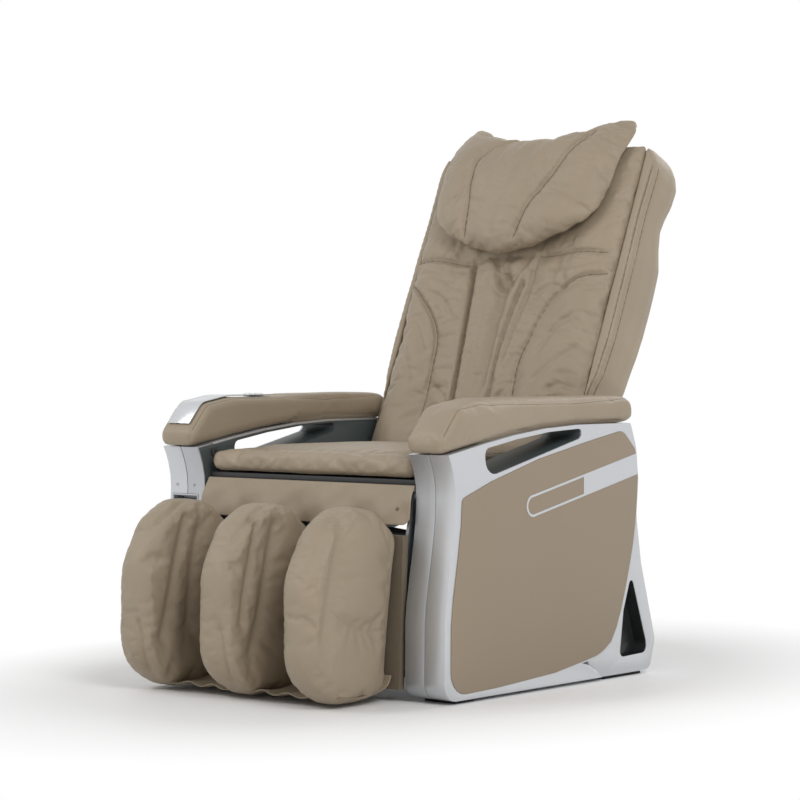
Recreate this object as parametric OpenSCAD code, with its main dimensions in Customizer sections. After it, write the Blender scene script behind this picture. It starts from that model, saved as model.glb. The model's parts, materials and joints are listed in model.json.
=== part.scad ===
/* [Overall] */
// Width over the two side housings
chair_w = 760; // [740:2:780]
// Width of one side housing and its arm
arm_w = 98; // [94:1:104]
// Distance from the front posts to the middle of the whole chair's depth
mid_y = 330; // [315:1:345]
// Height of the chair's underside above the floor
floor_gap = 7; // [5:1:9]

/* [Side housings] */
// Wall of the moulded housings
shell_wall = 4; // [3:0.5:5]
// Height of the front post's top edge
post_top_z = 474; // [468:1:480]
// Set-back of the front post's waist
post_waist_y = 21; // [18:1:24]
// Height of the front post's waist
post_waist_z = 392; // [384:1:400]
// How far the front post's toe reaches forward
post_toe_y = -13; // [-15:1:-10]
// Height of the housing's top edge at the rear
side_top_z = 523; // [518:1:528]
// Rear edge of the housing at its widest
side_rear_y = 624; // [620:1:628]
// Thickness of the dark inner liner
liner_t = 4; // [3:0.5:5]
// Gap at the shut-line between the two halves of a post
shut_gap = 1; // [0.6:0.2:1.6]
// Depth of the step that holds the side inlay
inlay_step = 2; // [1.5:0.5:2.5]
// Thickness of the side inlay
inlay_t = 3; // [2:0.5:4]
// Width of the silver rim in front of the inlay
rim_front = 19; // [16:1:23]
// Height of the trim band at its rear end
band_h = 44; // [38:1:50]
// Width of the trim's thin loop
loop_w = 5; // [4:0.5:7]
// How far the trim stands proud of the inlay
trim_proud = 1; // [0.5:0.5:1.5]

/* [Hand slot] */
// Front end of the hand slot
slot_y = 111; // [106:1:116]
// Length of the hand slot
slot_len = 326; // [310:2:330]
// Wall of the tunnel that lines the slot
tunnel_t = 2; // [1.5:0.5:3]

/* [Arm pads] */
// Rounding of an arm pad's edges
pad_edge = 16; // [12:1:20]
// How far an arm pad overhangs the housing on each side
pad_over = 1.5; // [0.5:0.5:1.6]
// Height of an arm pad's top
pad_top_z = 577; // [572:1:582]

/* [Rear feet] */
// Width of a rear foot bracket
bracket_w = 72; // [66:1:76]
// Wall around the bracket's window
bracket_rim = 17; // [15:1:20]
// Diameter of a transport wheel
wheel_d = 60; // [54:1:64]
// Width of a transport wheel
wheel_w = 22; // [18:1:24]
// Diameter of a transport wheel's axle
axle_d = 8; // [6:1:10]
// Height of the wheel's axle above the floor
axle_z = 84; // [80:1:90]
// Distance of the wheel's axle behind the front posts
axle_y = 667; // [662:1:668]

/* [Seat] */
// Height of the seat's top
seat_z = 471; // [466:1:476]
// Thickness of the seat cushion at its rim
seat_t = 48; // [44:1:52]
// Front of the seat's rolled lip
seat_lip_y = 21; // [18:1:24]
// Rear end of the seat cushion
seat_rear_y = 478; // [472:1:480]
// Crown of the seat cushion
seat_crown = 8; // [4:1:10]
// Thickness of the seat pan
pan_t = 12; // [9:1:15]
// Thickness of the leather apron below the lip
apron_t = 5; // [3:0.5:6]
// Lower edge of the apron
apron_z = 347; // [346:1:352]

/* [Frame tube] */
// Side of the square steel tube
tube = 25; // [22:1:28]
// Wall of the steel tube
tube_wall = 2; // [1.5:0.25:2.5]
// Height of the underside of the lower rails
rail_z = 36; // [30:1:42]

/* [Footrest] */
// Height of the footrest's pivot
lift_z = 392; // [390:1:394]
// Distance of the footrest's pivot behind the front posts
lift_y = 45; // [44:1:47]
// Diameter of the footrest's shaft
lift_d = 20; // [16:1:22]
// Gap between the footrest board and each arm
board_gap = 8; // [7:1:14]
// Thickness of the footrest board
board_t = 15; // [12:1:17]
// Width of a calf pad
calf_w = 96; // [90:1:98]
// How far the outer calf pads stay in from the board's ends
calf_edge = 8; // [4:1:14]
// How far a calf pad stands out from the board
calf_deep = 232; // [222:1:236]
// Height of a calf pad
calf_h = 354; // [344:1:356]

/* [Backrest] */
// Lean of the backrest from the vertical
lean = 23.5; // [20:0.5:26]
// Distance of the recline pivot behind the front posts
recline_y = 545; // [543:1:547]
// Height of the recline pivot
recline_z = 440; // [438:1:442]
// Diameter of the recline pivot pins
recline_d = 16; // [12:1:18]
// Gap between the front cushion and each arm
back_gap = 12; // [8:1:20]
// How far a side wing stands out from the front cushion
wing_out = 30; // [24:1:36]
// Length of the backrest along its lean
back_len = 748; // [738:1:758]
// Depth of the backrest at the loins
back_deep = 172; // [168:1:180]
// Thickness of the front cushion
cushion_t = 44; // [40:1:48]
// How far the head pillow's tips stay in from the front cushion's sides
pillow_inset = 34; // [26:1:42]
// Thickness of the head pillow
pillow_t = 70; // [62:1:74]

/* [Massage carriage] */
// Distance between the guide rails
guide_gap = 300; // [290:1:310]
// Diameter of a guide rail
guide_d = 16; // [14:1:18]
// Lowest position of the carriage along the back
carriage_u = 150; // [140:1:160]
// Travel of the carriage
carriage_travel = 360; // [300:5:370]
// Diameter of the lead screw
screw_d = 14; // [12:1:16]
// Lead of the screw
screw_lead = 12; // [8:1:16]
// Diameter of a massage roller
roller_d = 58; // [52:1:60]
// Width of a massage roller
roller_w = 26; // [22:1:28]
// Distance between the two kneading arms
arm_gap = 130; // [120:1:140]
// Running clearance of pins and shafts
run_gap = 0.06; // [0.03:0.01:0.09]

/* [Actuators] */
// Diameter of an actuator's outer tube
ram_d = 36; // [32:1:40]
// Diameter of an actuator's rod
rod_d = 18; // [16:1:20]
// Sideways distance of each actuator from the middle
ram_x = 60; // [54:1:66]
// Diameter of an actuator's pins
ram_pin = 10; // [8:1:10]

/* [Pay and control] */
// Length of the control plate
plate_len = 256; // [250:2:262]
// Width of the control plate
plate_w = 62; // [58:1:64]
// Diameter of a control button
button_d = 14; // [12:1:16]
// Travel of a control button
button_travel = 1.5; // [1:0.25:1.75]
// Diameter of the cash lock's cylinder
lock_d = 16; // [14:1:18]
// Width of the bill slot
bill_w = 66; // [60:1:68]

/* [Hidden] */

/* Derived sizes */
$fn = 48;
outer_x = chair_w / 2;
inner_x = outer_x - arm_w;
post_mid_x = (outer_x + inner_x) / 2;
cushion_half = inner_x - back_gap;
pillow_half = cushion_half - pillow_inset;
board_half = inner_x - board_gap;
calf_pitch = board_half - calf_w / 2 - calf_edge;
fit_gap = 0.5;
seat_gap = 0.3;
toe_z = 120;
toe_round = 34;
top_rise_y = 430;
inlay_gap = 0.5;
taupe = [0.58, 0.52, 0.44];
silver = [0.80, 0.81, 0.82];
dark = [0.30, 0.33, 0.33];
steel = [0.55, 0.57, 0.60];
black = [0.08, 0.08, 0.09];

// ---------- outlines ----------

function unit(v) = v / norm(v);
function wrap(a) = a > 180 ? a - 360 : (a < -180 ? a + 360 : a);
function heading(v) = atan2(v.y, v.x);
function cross_z(a, b) = a.x * b.y - a.y * b.x;
function before(list, i) = list[(i + len(list) - 1) % len(list)];
function after(list, i) = list[(i + 1) % len(list)];

// Arc that rounds corner q between its neighbours p and s
function rounded_corner(p, q, s, r, n) =
    let (a = unit(p - q), b = unit(s - q), half = acos(a * b) / 2)
    let (c = q + unit(a + b) * r / sin(half), reach = r / tan(half))
    let (from = heading(q + a * reach - c), sweep = wrap(heading(q + b * reach - c) - from))
    [for (i = [0:n]) c + r * [cos(from + sweep * i / n), sin(from + sweep * i / n)]];

// Closed outline through corners [y, z, radius], counter-clockwise
function outline(corners, n = 5) =
    let (flat = [for (c = corners) [c[0], c[1]]])
    [for (i = [0:len(corners) - 1])
        each (corners[i][2] > 0
            ? rounded_corner(before(flat, i), flat[i], after(flat, i), corners[i][2], n)
            : [flat[i]])];

// Corners moved inwards by d, with their radii made smaller to match
function inset(corners, d) =
    let (flat = [for (c = corners) [c[0], c[1]]])
    [for (i = [0:len(corners) - 1])
        let (a = unit(flat[i] - before(flat, i)), b = unit(after(flat, i) - flat[i]))
        let (m = [-a.y - b.y, a.x + b.x])
        let (r = corners[i][2], keep = cross_z(a, b) > 0 ? max(r - d, 1) : r + d)
        [each (flat[i] + m * d / (1 + a * b)), r > 0 ? keep : 0]];

// Smooth curve through points, with n steps between neighbours
function smooth(pts, n = 4) =
    [for (i = [0:len(pts) - 2], k = [0:n - 1])
        let (t = k / n, p = pts[max(i - 1, 0)], q = pts[i], r = pts[i + 1])
        let (s = pts[min(i + 2, len(pts) - 1)])
        0.5 * (2 * q + (r - p) * t + (2 * p - 5 * q + 4 * r - s) * t * t
            + (3 * q - p - 3 * r + s) * t * t * t),
     pts[len(pts) - 1]];

// Value at u of a table of [u, value] rows, eased between the rows
function eased(rows, u, i = 0) =
    u <= rows[0][0] ? rows[0][1]
    : i >= len(rows) - 1 ? rows[len(rows) - 1][1]
    : u > rows[i + 1][0] ? eased(rows, u, i + 1)
    : let (t = (u - rows[i][0]) / (rows[i + 1][0] - rows[i][0]))
      rows[i][1] + (rows[i + 1][1] - rows[i][1]) * t * t * (3 - 2 * t);

function average(pts, i = 0) = i == len(pts) ? 0 * pts[0] : pts[i] / len(pts) + average(pts, i + 1);

// ---------- solids ----------

// Extrudes a [y, z] drawing along X from x0 to x1
module along_x(x0, x1) {
    translate([x0, 0, 0]) rotate([90, 0, 90]) linear_extrude(x1 - x0) children();
}

// Round bar along X
module rod_x(d, x0, x1) {
    translate([x0, 0, 0]) rotate([0, 90, 0]) cylinder(d = d, h = x1 - x0);
}

// Box from its low corner to its high corner
module block(low, high) {
    translate(low) cube(high - low);
}

// Closed skin over rings of equal count, each counter-clockwise seen from the far end
module loft(rings) {
    n = len(rings[0]);
    last = len(rings) - 1;
    points = [average(rings[0]), for (r = rings) each r, average(rings[last])];
    sides = [for (i = [0:last - 1], k = [0:n - 1])
        let (a = 1 + i * n + k, b = 1 + i * n + (k + 1) % n)
        each [[a, a + n, b + n], [a, b + n, b]]];
    near_cap = [for (k = [0:n - 1]) [0, 1 + k, 1 + (k + 1) % n]];
    far_cap = [for (k = [0:n - 1])
        [len(points) - 1, 1 + last * n + (k + 1) % n, 1 + last * n + k]];
    polyhedron(points, concat(sides, near_cap, far_cap), convexity = 6);
}

// Puts the chair's middle over the origin
module placed() {
    translate([0, -mid_y, 0]) children();
}

// Keeps the left side as drawn, or mirrors it for the right side
module on_side(side) {
    if (side > 0) children();
    else mirror([1, 0, 0]) children();
}

// ---------- side housings ----------

function post_front(z) =
    z >= post_waist_z
    ? post_waist_y - (post_waist_y + 1) * pow((z - post_waist_z) / (post_top_z - post_waist_z), 2)
    : post_toe_y + (post_waist_y - post_toe_y)
        * (1 - cos(180 * max(0, z - toe_z) / (post_waist_z - toe_z))) / 2;

function side_top(y) =
    post_top_z + (side_top_z - post_top_z) * sin(90 * min(1, max(0, y) / top_rise_y));

// Lower rear edge of the housing, which the rear foot follows
rear_edge = [
    [side_rear_y - 196, floor_gap + 35], [side_rear_y - 142, floor_gap + 44],
    [side_rear_y - 94, floor_gap + 68], [side_rear_y - 59, floor_gap + 130],
    [side_rear_y - 27, floor_gap + 226], [side_rear_y - 9, floor_gap + 302],
    [side_rear_y, floor_gap + 400]
];
tail_y = side_rear_y - 128;

// Places along the housing's top edge, which the arm pad's underside shares
top_ys = [110, 200, 300, 410, 520];

housing = concat(
    [[post_toe_y, floor_gap, toe_round], [tail_y, floor_gap, 0],
     [tail_y - 20, floor_gap + 17, 0], [tail_y - 44, floor_gap + 29, 0]],
    [for (p = smooth(rear_edge, 2)) [p.x, p.y, 0]],
    [[side_rear_y - 8, side_top(side_rear_y) - 50, 0],
     [side_rear_y - 28, side_top(side_rear_y), 8]],
    [for (i = [4:-1:0]) [top_ys[i], side_top(top_ys[i]), 0]],
    [[post_front(post_top_z), post_top_z, 0]],
    [for (z = [458, 440, 415, 390, 350, 310, 270, 230, 190, 155]) [post_front(z), z, 0]]
);

inlay_rim = 3;
inlay_bottom_z = floor_gap + 12;
inlay_corners = concat(
    [[post_toe_y + rim_front, inlay_bottom_z - 2, 44]],
    [[150, inlay_bottom_z + 2, 0], [337, inlay_bottom_z + 13, 0], [440, inlay_bottom_z + 28, 0]],
    [for (p = smooth([for (i = [1:6]) rear_edge[i] - [inlay_rim, -2.5]], 2)) [p.x, p.y, 0]],
    [[side_rear_y - 9 - inlay_rim, 468, 22], [side_rear_y - 56, 508, 34]],
    [[439, 487, 0], [281, 458, 0], [131, 420, 0]],
    [[post_front(396) + rim_front, 390, 12]],
    [for (z = [340, 276, 200, 150]) [post_front(z) + rim_front, z, 0]]
);

slot_roof = 7;
slot_corners = [
    [slot_y, 426, 30], [slot_y + slot_len - 20, 495, 14],
    [slot_y + slot_len, side_top(slot_y + slot_len) - slot_roof, 9],
    [slot_y + 205, side_top(slot_y + 205) - slot_roof - 1, 0],
    [slot_y + 100, side_top(slot_y + 100) - slot_roof - 2, 0],
    [slot_y, side_top(slot_y) - slot_roof - 3, 14]
];

module side_shell(side) color(silver) placed() on_side(side) difference() {
    along_x(inner_x, outer_x) polygon(outline(housing));
    along_x(inner_x - 1, outer_x - shell_wall) polygon(outline(inset(housing, shell_wall)));
    along_x(outer_x - inlay_step, outer_x + 1) polygon(outline(inset(inlay_corners, -inlay_gap)));
    along_x(inner_x, outer_x + 1) polygon(outline(slot_corners));
    block([inner_x - 1, -30, floor_gap - 1], [post_mid_x + shut_gap / 2, post_return_y, 500]);
    if (side < 0) bill_cut(fit_gap);
}
post_return_y = 46;

module post_cover(side) color(silver) placed() on_side(side) intersection() {
    difference() {
        along_x(inner_x, outer_x) polygon(outline(housing));
        along_x(inner_x - 1, outer_x) polygon(outline(inset(housing, shell_wall)));
        if (side < 0) bill_cut(fit_gap);
    }
    block([inner_x, -30, 0], [post_mid_x - shut_gap / 2, post_return_y - fit_gap, 500]);
}

module inner_liner(side) color(dark) placed() on_side(side) difference() {
    union() {
        along_x(inner_x + 1, inner_x + 1 + liner_t)
            polygon(outline(inset(housing, shell_wall + fit_gap)));
        along_x(inner_x + 1, outer_x - shell_wall - seat_gap)
            polygon(outline(inset(slot_corners, -tunnel_t)));
    }
    along_x(inner_x, outer_x) polygon(outline(slot_corners));
    if (side < 0) translate([0, lock_at.x, lock_at.y]) rod_x(lock_d + 2 * run_gap, inner_x, inner_x + 9);
}

module inlay(side) color(taupe) placed() on_side(side)
    along_x(outer_x - inlay_step, outer_x - inlay_step + inlay_t) polygon(outline(inlay_corners));

function band_mid(y) = 367 + (y - 262) * 0.2;
band_front = 262;
band_open = 430;

module band_shape(grow) {
    h = band_h / 2 + grow;
    far = side_rear_y - 6;
    ys = [band_front, 350, band_open, 520, far];
    polygon(concat([for (y = ys) [y, band_mid(y) - h]],
                   [for (i = [4:-1:0]) [ys[i], band_mid(ys[i]) + h]]));
    translate([band_front, band_mid(band_front)]) circle(r = h);
}

module inlay_trim(side) color(silver) placed() on_side(side)
    along_x(outer_x - inlay_step + inlay_t, outer_x - inlay_step + inlay_t + trim_proud)
    difference() {
        intersection() {
            band_shape(0);
            polygon(outline(inset(inlay_corners, 1)));
        }
        intersection() {
            band_shape(-loop_w);
            translate([0, 300]) square([band_open, 160]);
        }
    }

// ---------- arm pads ----------

pad_front_y = post_front(post_top_z) - 15;
pad_rear_y = side_rear_y - 16;
pad_lip = 1.5;

function pad_corners() = concat(
    [[pad_front_y + 3, post_top_z + seat_gap - pad_lip, 8]],
    [for (y = top_ys) [y, side_top(y) + seat_gap, 0]],
    [[pad_rear_y, side_top_z + seat_gap, 12], [pad_rear_y + 1, pad_top_z, 26],
     [110, pad_top_z, 160], [32, pad_top_z - 13, 30], [pad_front_y - 3, post_top_z + 30, 14]]
);

// Rings across a pad: the edge turns inwards over its rounding
function pad_rings(corners, x0, x1, edge, steps, n) = [
    for (i = [0:steps]) let (a = 90 * i / steps)
        [for (p = outline(inset(corners, edge * (1 - sin(a))), n))
            [x0 + edge * (1 - cos(a)), p.x, p.y]],
    for (i = [0:steps]) let (a = 90 * (1 - i / steps))
        [for (p = outline(inset(corners, edge * (1 - sin(a))), n))
            [x1 - edge * (1 - cos(a)), p.x, p.y]]
];

module arm_pad(side) color(taupe) placed() on_side(side) difference() {
    loft(pad_rings(pad_corners(), inner_x - pad_over, outer_x + pad_over, pad_edge, 3, 4));
    if (side < 0) plate_cut();
}

// ---------- rear feet and transport wheels ----------

foot_x1 = outer_x - 4;
foot_x0 = foot_x1 - bracket_w;
foot_join = 1.2;

foot_corners = concat(
    [[tail_y + 2, floor_gap, 0], [axle_y + 4, floor_gap, 22], [axle_y + 24, floor_gap + 62, 24],
     [axle_y - 27, floor_gap + 225, 0], [side_rear_y + 1, floor_gap + 312, 4]],
    [for (i = [11:-1:1]) let (p = smooth(rear_edge, 2)[i])
        [p.x + foot_join, p.y - foot_join, 0]],
    [[tail_y - 40, floor_gap + 30, 0], [tail_y - 17.5, floor_gap + 18, 0]]
);

window_corners = [
    [axle_y - 104, floor_gap + 34, 12], [axle_y - 6, floor_gap + 37, 14],
    [axle_y - 8, floor_gap + 60, 20], [axle_y - 62, floor_gap + 205, 8],
    [axle_y - 90, floor_gap + 130, 30]
];

module rear_foot(side) color(silver) placed() on_side(side) difference() {
    along_x(foot_x0, foot_x1) polygon(outline(foot_corners));
    along_x(foot_x1 - 30, foot_x1 + 1) polygon(outline(window_corners));
    translate([0, axle_y, axle_z]) rod_x(axle_d + 2 * run_gap, foot_x0 - 1, foot_x0 + 26);
}

module rubber_feet() color(black) placed() for (side = [-1, 1]) on_side(side) {
    block([inner_x + 12, 32, 0], [outer_x - 12, 92, floor_gap]);
    block([foot_x0 + 6, tail_y + 20, 0], [foot_x1 - 6, axle_y - 20, floor_gap]);
}

wheel_side_gap = 3;
wheel_x1 = foot_x0 - wheel_side_gap;
wheel_x0 = wheel_x1 - wheel_w;

module wheel_axles() color(steel) placed() for (side = [-1, 1]) on_side(side)
    translate([0, axle_y, axle_z]) {
        rod_x(axle_d, wheel_x0 - wheel_side_gap, foot_x0 + 24);
        rod_x(2 * axle_d, wheel_x0 - wheel_side_gap - 3, wheel_x0 - wheel_side_gap);
    }

module wheel(side) color(black) placed() on_side(side)
    translate([wheel_x0, axle_y, axle_z]) rotate([0, 90, 0]) rotate_extrude($fn = 64) {
        polygon([
            [axle_d / 2 + run_gap, 0], [wheel_d / 4, 0], [wheel_d / 4, 3], [wheel_d / 2 - 8, 3],
            [wheel_d / 2 - 6, 0], [wheel_d / 2 - 2, 1], [wheel_d / 2, 4],
            [wheel_d / 2, wheel_w - 4], [wheel_d / 2 - 2, wheel_w - 1], [wheel_d / 2 - 6, wheel_w],
            [wheel_d / 2 - 8, wheel_w - 3], [wheel_d / 4, wheel_w - 3],
            [wheel_d / 4, wheel_w], [axle_d / 2 + run_gap, wheel_w]
        ]);
    }

// ---------- steel frame ----------

frame_x1 = inner_x - 7;
frame_x0 = frame_x1 - tube;
pan_z0 = seat_z - seat_t - pan_t;
upper_z = pan_z0 - tube;
front_tube_y = 64;
rear_tube_y = 468;
rear_cross_y = 592;
lug_t = 6;
lug_x = frame_x0 - 12;
ear_half = 12;
weld_gap = 0.1;
hip_clear = 11;
spacer_d = 18;
hip_x1 = frame_x1 - 1;
hip_x0 = hip_x1 - lug_t;

// One square tube between two corners; with g its hollow, run through the ends along its axis
module bar(low, high, g, axis) {
    side = [for (i = [0:2]) i == axis ? -g : g];
    block(low + side, high - side);
}

// The closed front of the frame: two cross tubes and two uprights
module front_tubes(g) {
    for (z = [rail_z, upper_z])
        bar([-frame_x1, front_tube_y, z], [frame_x1, front_tube_y + tube, z + tube], g, 0);
    for (side = [-1, 1]) on_side(side)
        bar([frame_x0, front_tube_y, rail_z], [frame_x1, front_tube_y + tube, pan_z0], g, 3);
}

// One side of the frame: its two rails and its rear upright
module side_tubes(g) {
    rail_y = front_tube_y + tube + weld_gap;
    bar([frame_x0, rail_y, rail_z], [frame_x1, rear_cross_y - weld_gap, rail_z + tube], g, 1);
    bar([frame_x0, rail_y, upper_z], [frame_x1, recline_y - hip_clear, pan_z0], g, 1);
    bar([frame_x0, rear_tube_y, rail_z], [frame_x1, rear_tube_y + tube, pan_z0], g, 3);
}

// Plate along X with a round end at p and a root that stands on a tube
module lug(x0, x1, p, root, bore) {
    along_x(x0, x1) difference() {
        union() {
            translate(p) circle(r = bore / 2 + 8);
            polygon(root);
        }
        translate(p) circle(d = bore);
    }
}

lift = [lift_y, lift_z];
hip = [recline_y, recline_z];
footrest_ram_base = [lift_y + 257, lift_z - 112];
footrest_ram_tip = [lift_y + 44, lift_z - 74];
recline_ram_base = [123, 260];
recline_ram_tip = [recline_y + 19, recline_z - 70];

module front_frame() color(steel) placed() {
    difference() {
        front_tubes(0);
        front_tubes(tube_wall);
    }
    // ears of the footrest's shaft
    for (side = [-1, 1]) on_side(side)
        lug(lug_x, lug_x + lug_t, lift, [[lift_y, lift_z - 14], [front_tube_y, upper_z],
            [front_tube_y, pan_z0], [lift_y, lift_z + 14]], lift_d);
    ram_ears(-ram_x, recline_ram_base, front_tube_y);
}

module side_frame(side) color(steel) placed() on_side(side) {
    difference() {
        side_tubes(0);
        side_tubes(tube_wall);
    }
    // ear of the recline pin
    lug(hip_x0, hip_x1, hip, [[recline_y - hip_clear - 26, pan_z0], [recline_y - hip_clear, pan_z0],
        [recline_y + 15, recline_z], [recline_y - 15, recline_z]], recline_d + 2 * run_gap);
    // spacers that carry the side housing
    for (p = [[front_tube_y + 40, upper_z + tube / 2], [rear_tube_y - 40, upper_z + tube / 2],
              [front_tube_y + 40, rail_z + tube / 2], [380, rail_z + tube / 2]])
        translate([0, p[0], p[1]]) rod_x(spacer_d, frame_x1, inner_x + 1);
}

module cross_tubes() color(steel) placed() {
    reach = frame_x0 - weld_gap;
    for (p = [[footrest_ram_base.x - tube / 2, upper_z, reach], [rear_tube_y, upper_z, reach],
              [rear_cross_y, rail_z, foot_x0]]) difference() {
        bar([-p[2], p[0], p[1]], [p[2], p[0] + tube, p[1] + tube], 0, 0);
        bar([-p[2], p[0], p[1]], [p[2], p[0] + tube, p[1] + tube], tube_wall, 0);
    }
    ram_ears(ram_x, footrest_ram_base, footrest_ram_base.x - tube / 2);
}

// A pair of ears hung from the cross tube that starts at root_y, with the pin between them
module ram_ears(x, pin, root_y) {
    for (side = [-1, 1]) translate([x + side * ram_ear_x - lug_t / 2, 0, 0])
        lug(0, lug_t, pin, [pin - [ear_half, 0], pin + [ear_half, 0],
                            [root_y + tube, upper_z], [root_y, upper_z]], ram_pin - 1);
    translate([x, pin.x, pin.y]) rod_x(ram_pin, -ram_ear_x - lug_t / 2, ram_ear_x + lug_t / 2);
}

// ---------- seat ----------

pan_half = frame_x1 - 2;
pan_front_y = seat_lip_y + 11;
pan_top = pan_z0 + pan_t;

module seat_pan() color(steel) placed()
    block([-pan_half, pan_front_y, pan_z0], [pan_half, seat_rear_y - 8, pan_top]);

seat_corners = [
    [seat_lip_y + 12, pan_top + seat_gap, 8], [seat_rear_y, pan_top + seat_gap, 10],
    [seat_rear_y + 1, seat_z, 18], [320, seat_z, 0], [180, seat_z, 0], [90, seat_z - 2, 0],
    [seat_lip_y + 52, seat_z - 5, 8], [seat_lip_y + 34, seat_z, 10], [seat_lip_y, seat_z - 1, 18],
    [seat_lip_y - 1, pan_top + 12, 12]
];

// Lifts the top of each ring into a crown that fades out at the ends
function crowned(rings, half, y0, y1, z_mid, rise) = [for (r = rings) [for (p = r)
    [p.x, p.y, p.z + (p.z > z_mid ? rise * (1 - pow(p.x / half, 2))
        * sin(180 * max(0, min(1, (p.y - y0) / (y1 - y0)))) : 0)]]];

function with_steps(rings, xs) = [
    for (i = [0:len(rings) / 2 - 1]) rings[i],
    for (x = xs) [for (p = rings[len(rings) / 2 - 1]) [x, p.y, p.z]],
    for (i = [len(rings) / 2:len(rings) - 1]) rings[i]
];

module seat_cushion() color(taupe) placed()
    loft(crowned(with_steps(pad_rings(seat_corners, -pan_half, pan_half, 20, 3, 3),
                            [for (i = [-3:3]) i * pan_half / 4]),
                 pan_half, seat_lip_y + 40, seat_rear_y, seat_z - seat_t / 2, seat_crown));

apron_half = lug_x + 22;
apron_line = smooth([[pan_front_y - apron_t / 2 - seat_gap, pan_top - 1],
                     [seat_lip_y - 2, pan_z0 - 12], [seat_lip_y - 13, pan_z0 - 40],
                     [seat_lip_y - 20, apron_z]], 2);

// The apron's fall at one place across it, with its soft folds
function apron_ring(x) = let (n = len(apron_line))
    [for (i = [0:n - 1]) let (p = apron_line[n - 1 - i], low = 1 - i / (n - 1))
         [x, p.x + apron_t / 2 + 2 * low * sin(3 * x), p.y],
     for (i = [0:n - 1]) let (p = apron_line[i], low = i / (n - 1))
         [x, p.x - apron_t / 2 + 2 * low * sin(3 * x), p.y]];

module seat_apron() color(taupe) placed()
    loft([for (i = [-12:12]) apron_ring(apron_half * i / 12)]);

// ---------- footrest ----------

board_top_z = 318;
board_low_z = 24;
arm_x0 = board_half - 10;

function board_face(z) = -20 + 12 * (z - board_low_z) / (board_top_z - board_low_z);

module footrest_shaft() color(steel) placed() translate([0, lift_y, lift_z])
    rod_x(lift_d, -board_half - 2, board_half + 2);

module footrest_board() color(dark) placed() along_x(-board_half, board_half) polygon([
    [board_face(board_low_z), board_low_z], [board_face(board_low_z) + board_t, board_low_z],
    [board_face(board_top_z) + board_t, board_top_z], [board_face(board_top_z), board_top_z]
]);

module footrest_frame() color(steel) placed() {
    back_low = board_face(60) + board_t;
    back_high = board_face(board_top_z) + board_t;
    for (side = [-1, 1]) on_side(side) along_x(arm_x0, arm_x0 + lug_t) difference() {
        union() {
            translate(lift) circle(r = lift_d / 2 + 7);
            polygon([[back_low, 60], [back_low + 16, 60], [back_high + 20, board_top_z - 20],
                     lift + [17, 0], lift - [17, 0], [back_high, board_top_z - 20]]);
        }
        translate(lift) circle(d = lift_d + 2 * run_gap);
    }
    // cross tubes behind the board
    for (z = [90, 268])
        block([-arm_x0, board_face(z) + board_t + 1, z - 10], [arm_x0, board_face(z) + board_t + 17, z + 10]);
    // clevis for the actuator's open eye
    for (side = [-1, 1]) translate([ram_x + side * ram_ear_x - lug_t / 2, 0, 0])
        lug(0, lug_t, footrest_ram_tip, [
            [board_face(268) + board_t + 1, 258], footrest_ram_tip + [6, -11],
            footrest_ram_tip + [-6, 11], [board_face(268) + board_t + 1, 278]], ram_pin - 1);
    translate([ram_x, footrest_ram_tip.x, footrest_ram_tip.y])
        rod_x(ram_pin, -ram_ear_x - lug_t / 2, ram_ear_x + lug_t / 2);
}

// Side view of a calf pad: its full middle, and its drawn-in sides
calf_low_z = 6;
calf_top_z = calf_low_z + calf_h + 18;
calf_middle = [
    [board_face(30) - seat_gap, 18, 6], [board_face(310) - seat_gap, 330, 24],
    [-62, calf_top_z - 8, 30], [-140, calf_top_z, 60], [-206, calf_top_z - 36, 80],
    [-20 - calf_deep, 250, 120], [-24 - calf_deep, 60, 90], [-170, calf_low_z, 70]
];
calf_side = [
    [-92, calf_low_z + 10, 6], [-12, 312, 24],
    [-66, calf_top_z - 24, 30], [-134, calf_top_z - 18, 60], [-190, calf_top_z - 56, 80],
    [-4 - calf_deep, 248, 120], [-8 - calf_deep, 64, 90], [-168, calf_low_z + 16, 60]
];

function blend_rows(a, b, t) = a + (b - a) * t;

// A pad of half width w, drawn in towards both sides
function calf_rings(w, steps, n) = [for (i = [-steps:steps])
    let (a = 90 * i / steps, out = pow(abs(sin(a)), 4), x = w * sin(a))
    [for (p = outline(blend_rows(calf_middle, calf_side, out), n)) [x, p.x, p.y]]];

module calf_pad(x) color(taupe) placed() translate([x, 0, 0])
    loft(calf_rings(calf_w / 2, 4, 4));

// ---------- actuators ----------

ram_eye = 20;
ram_ear_x = ram_eye / 2 + 1 + lug_t / 2;

// Draws along the line from a base pin to a tip pin, with X as its length
module on_ram(x, base, tip) {
    d = tip - base;
    translate([x, base.x, base.y]) rotate([atan2(d.y, d.x), 0, 0]) rotate([0, 0, 90]) children();
}

module ram_body(x, base, tip, stroke_room) {
    len_body = norm(tip - base) - stroke_room;
    on_ram(x, base, tip) difference() {
        union() {
            rotate([0, 90, 0]) translate([0, 0, 18]) cylinder(d = ram_d, h = len_body - 18);
            rotate([90, 0, 0]) translate([0, 0, -ram_eye / 2]) cylinder(d = ram_d - 6, h = ram_eye);
            block([0, -ram_eye / 2, -ram_d / 2 + 4], [24, ram_eye / 2, ram_d / 2 - 4]);
        }
        rotate([90, 0, 0]) translate([0, 0, -ram_eye]) cylinder(d = ram_pin + 2 * run_gap, h = 2 * ram_eye);
        rotate([0, 90, 0]) translate([0, 0, 36]) cylinder(d = rod_d + 2 * run_gap, h = len_body);
    }
}

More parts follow.
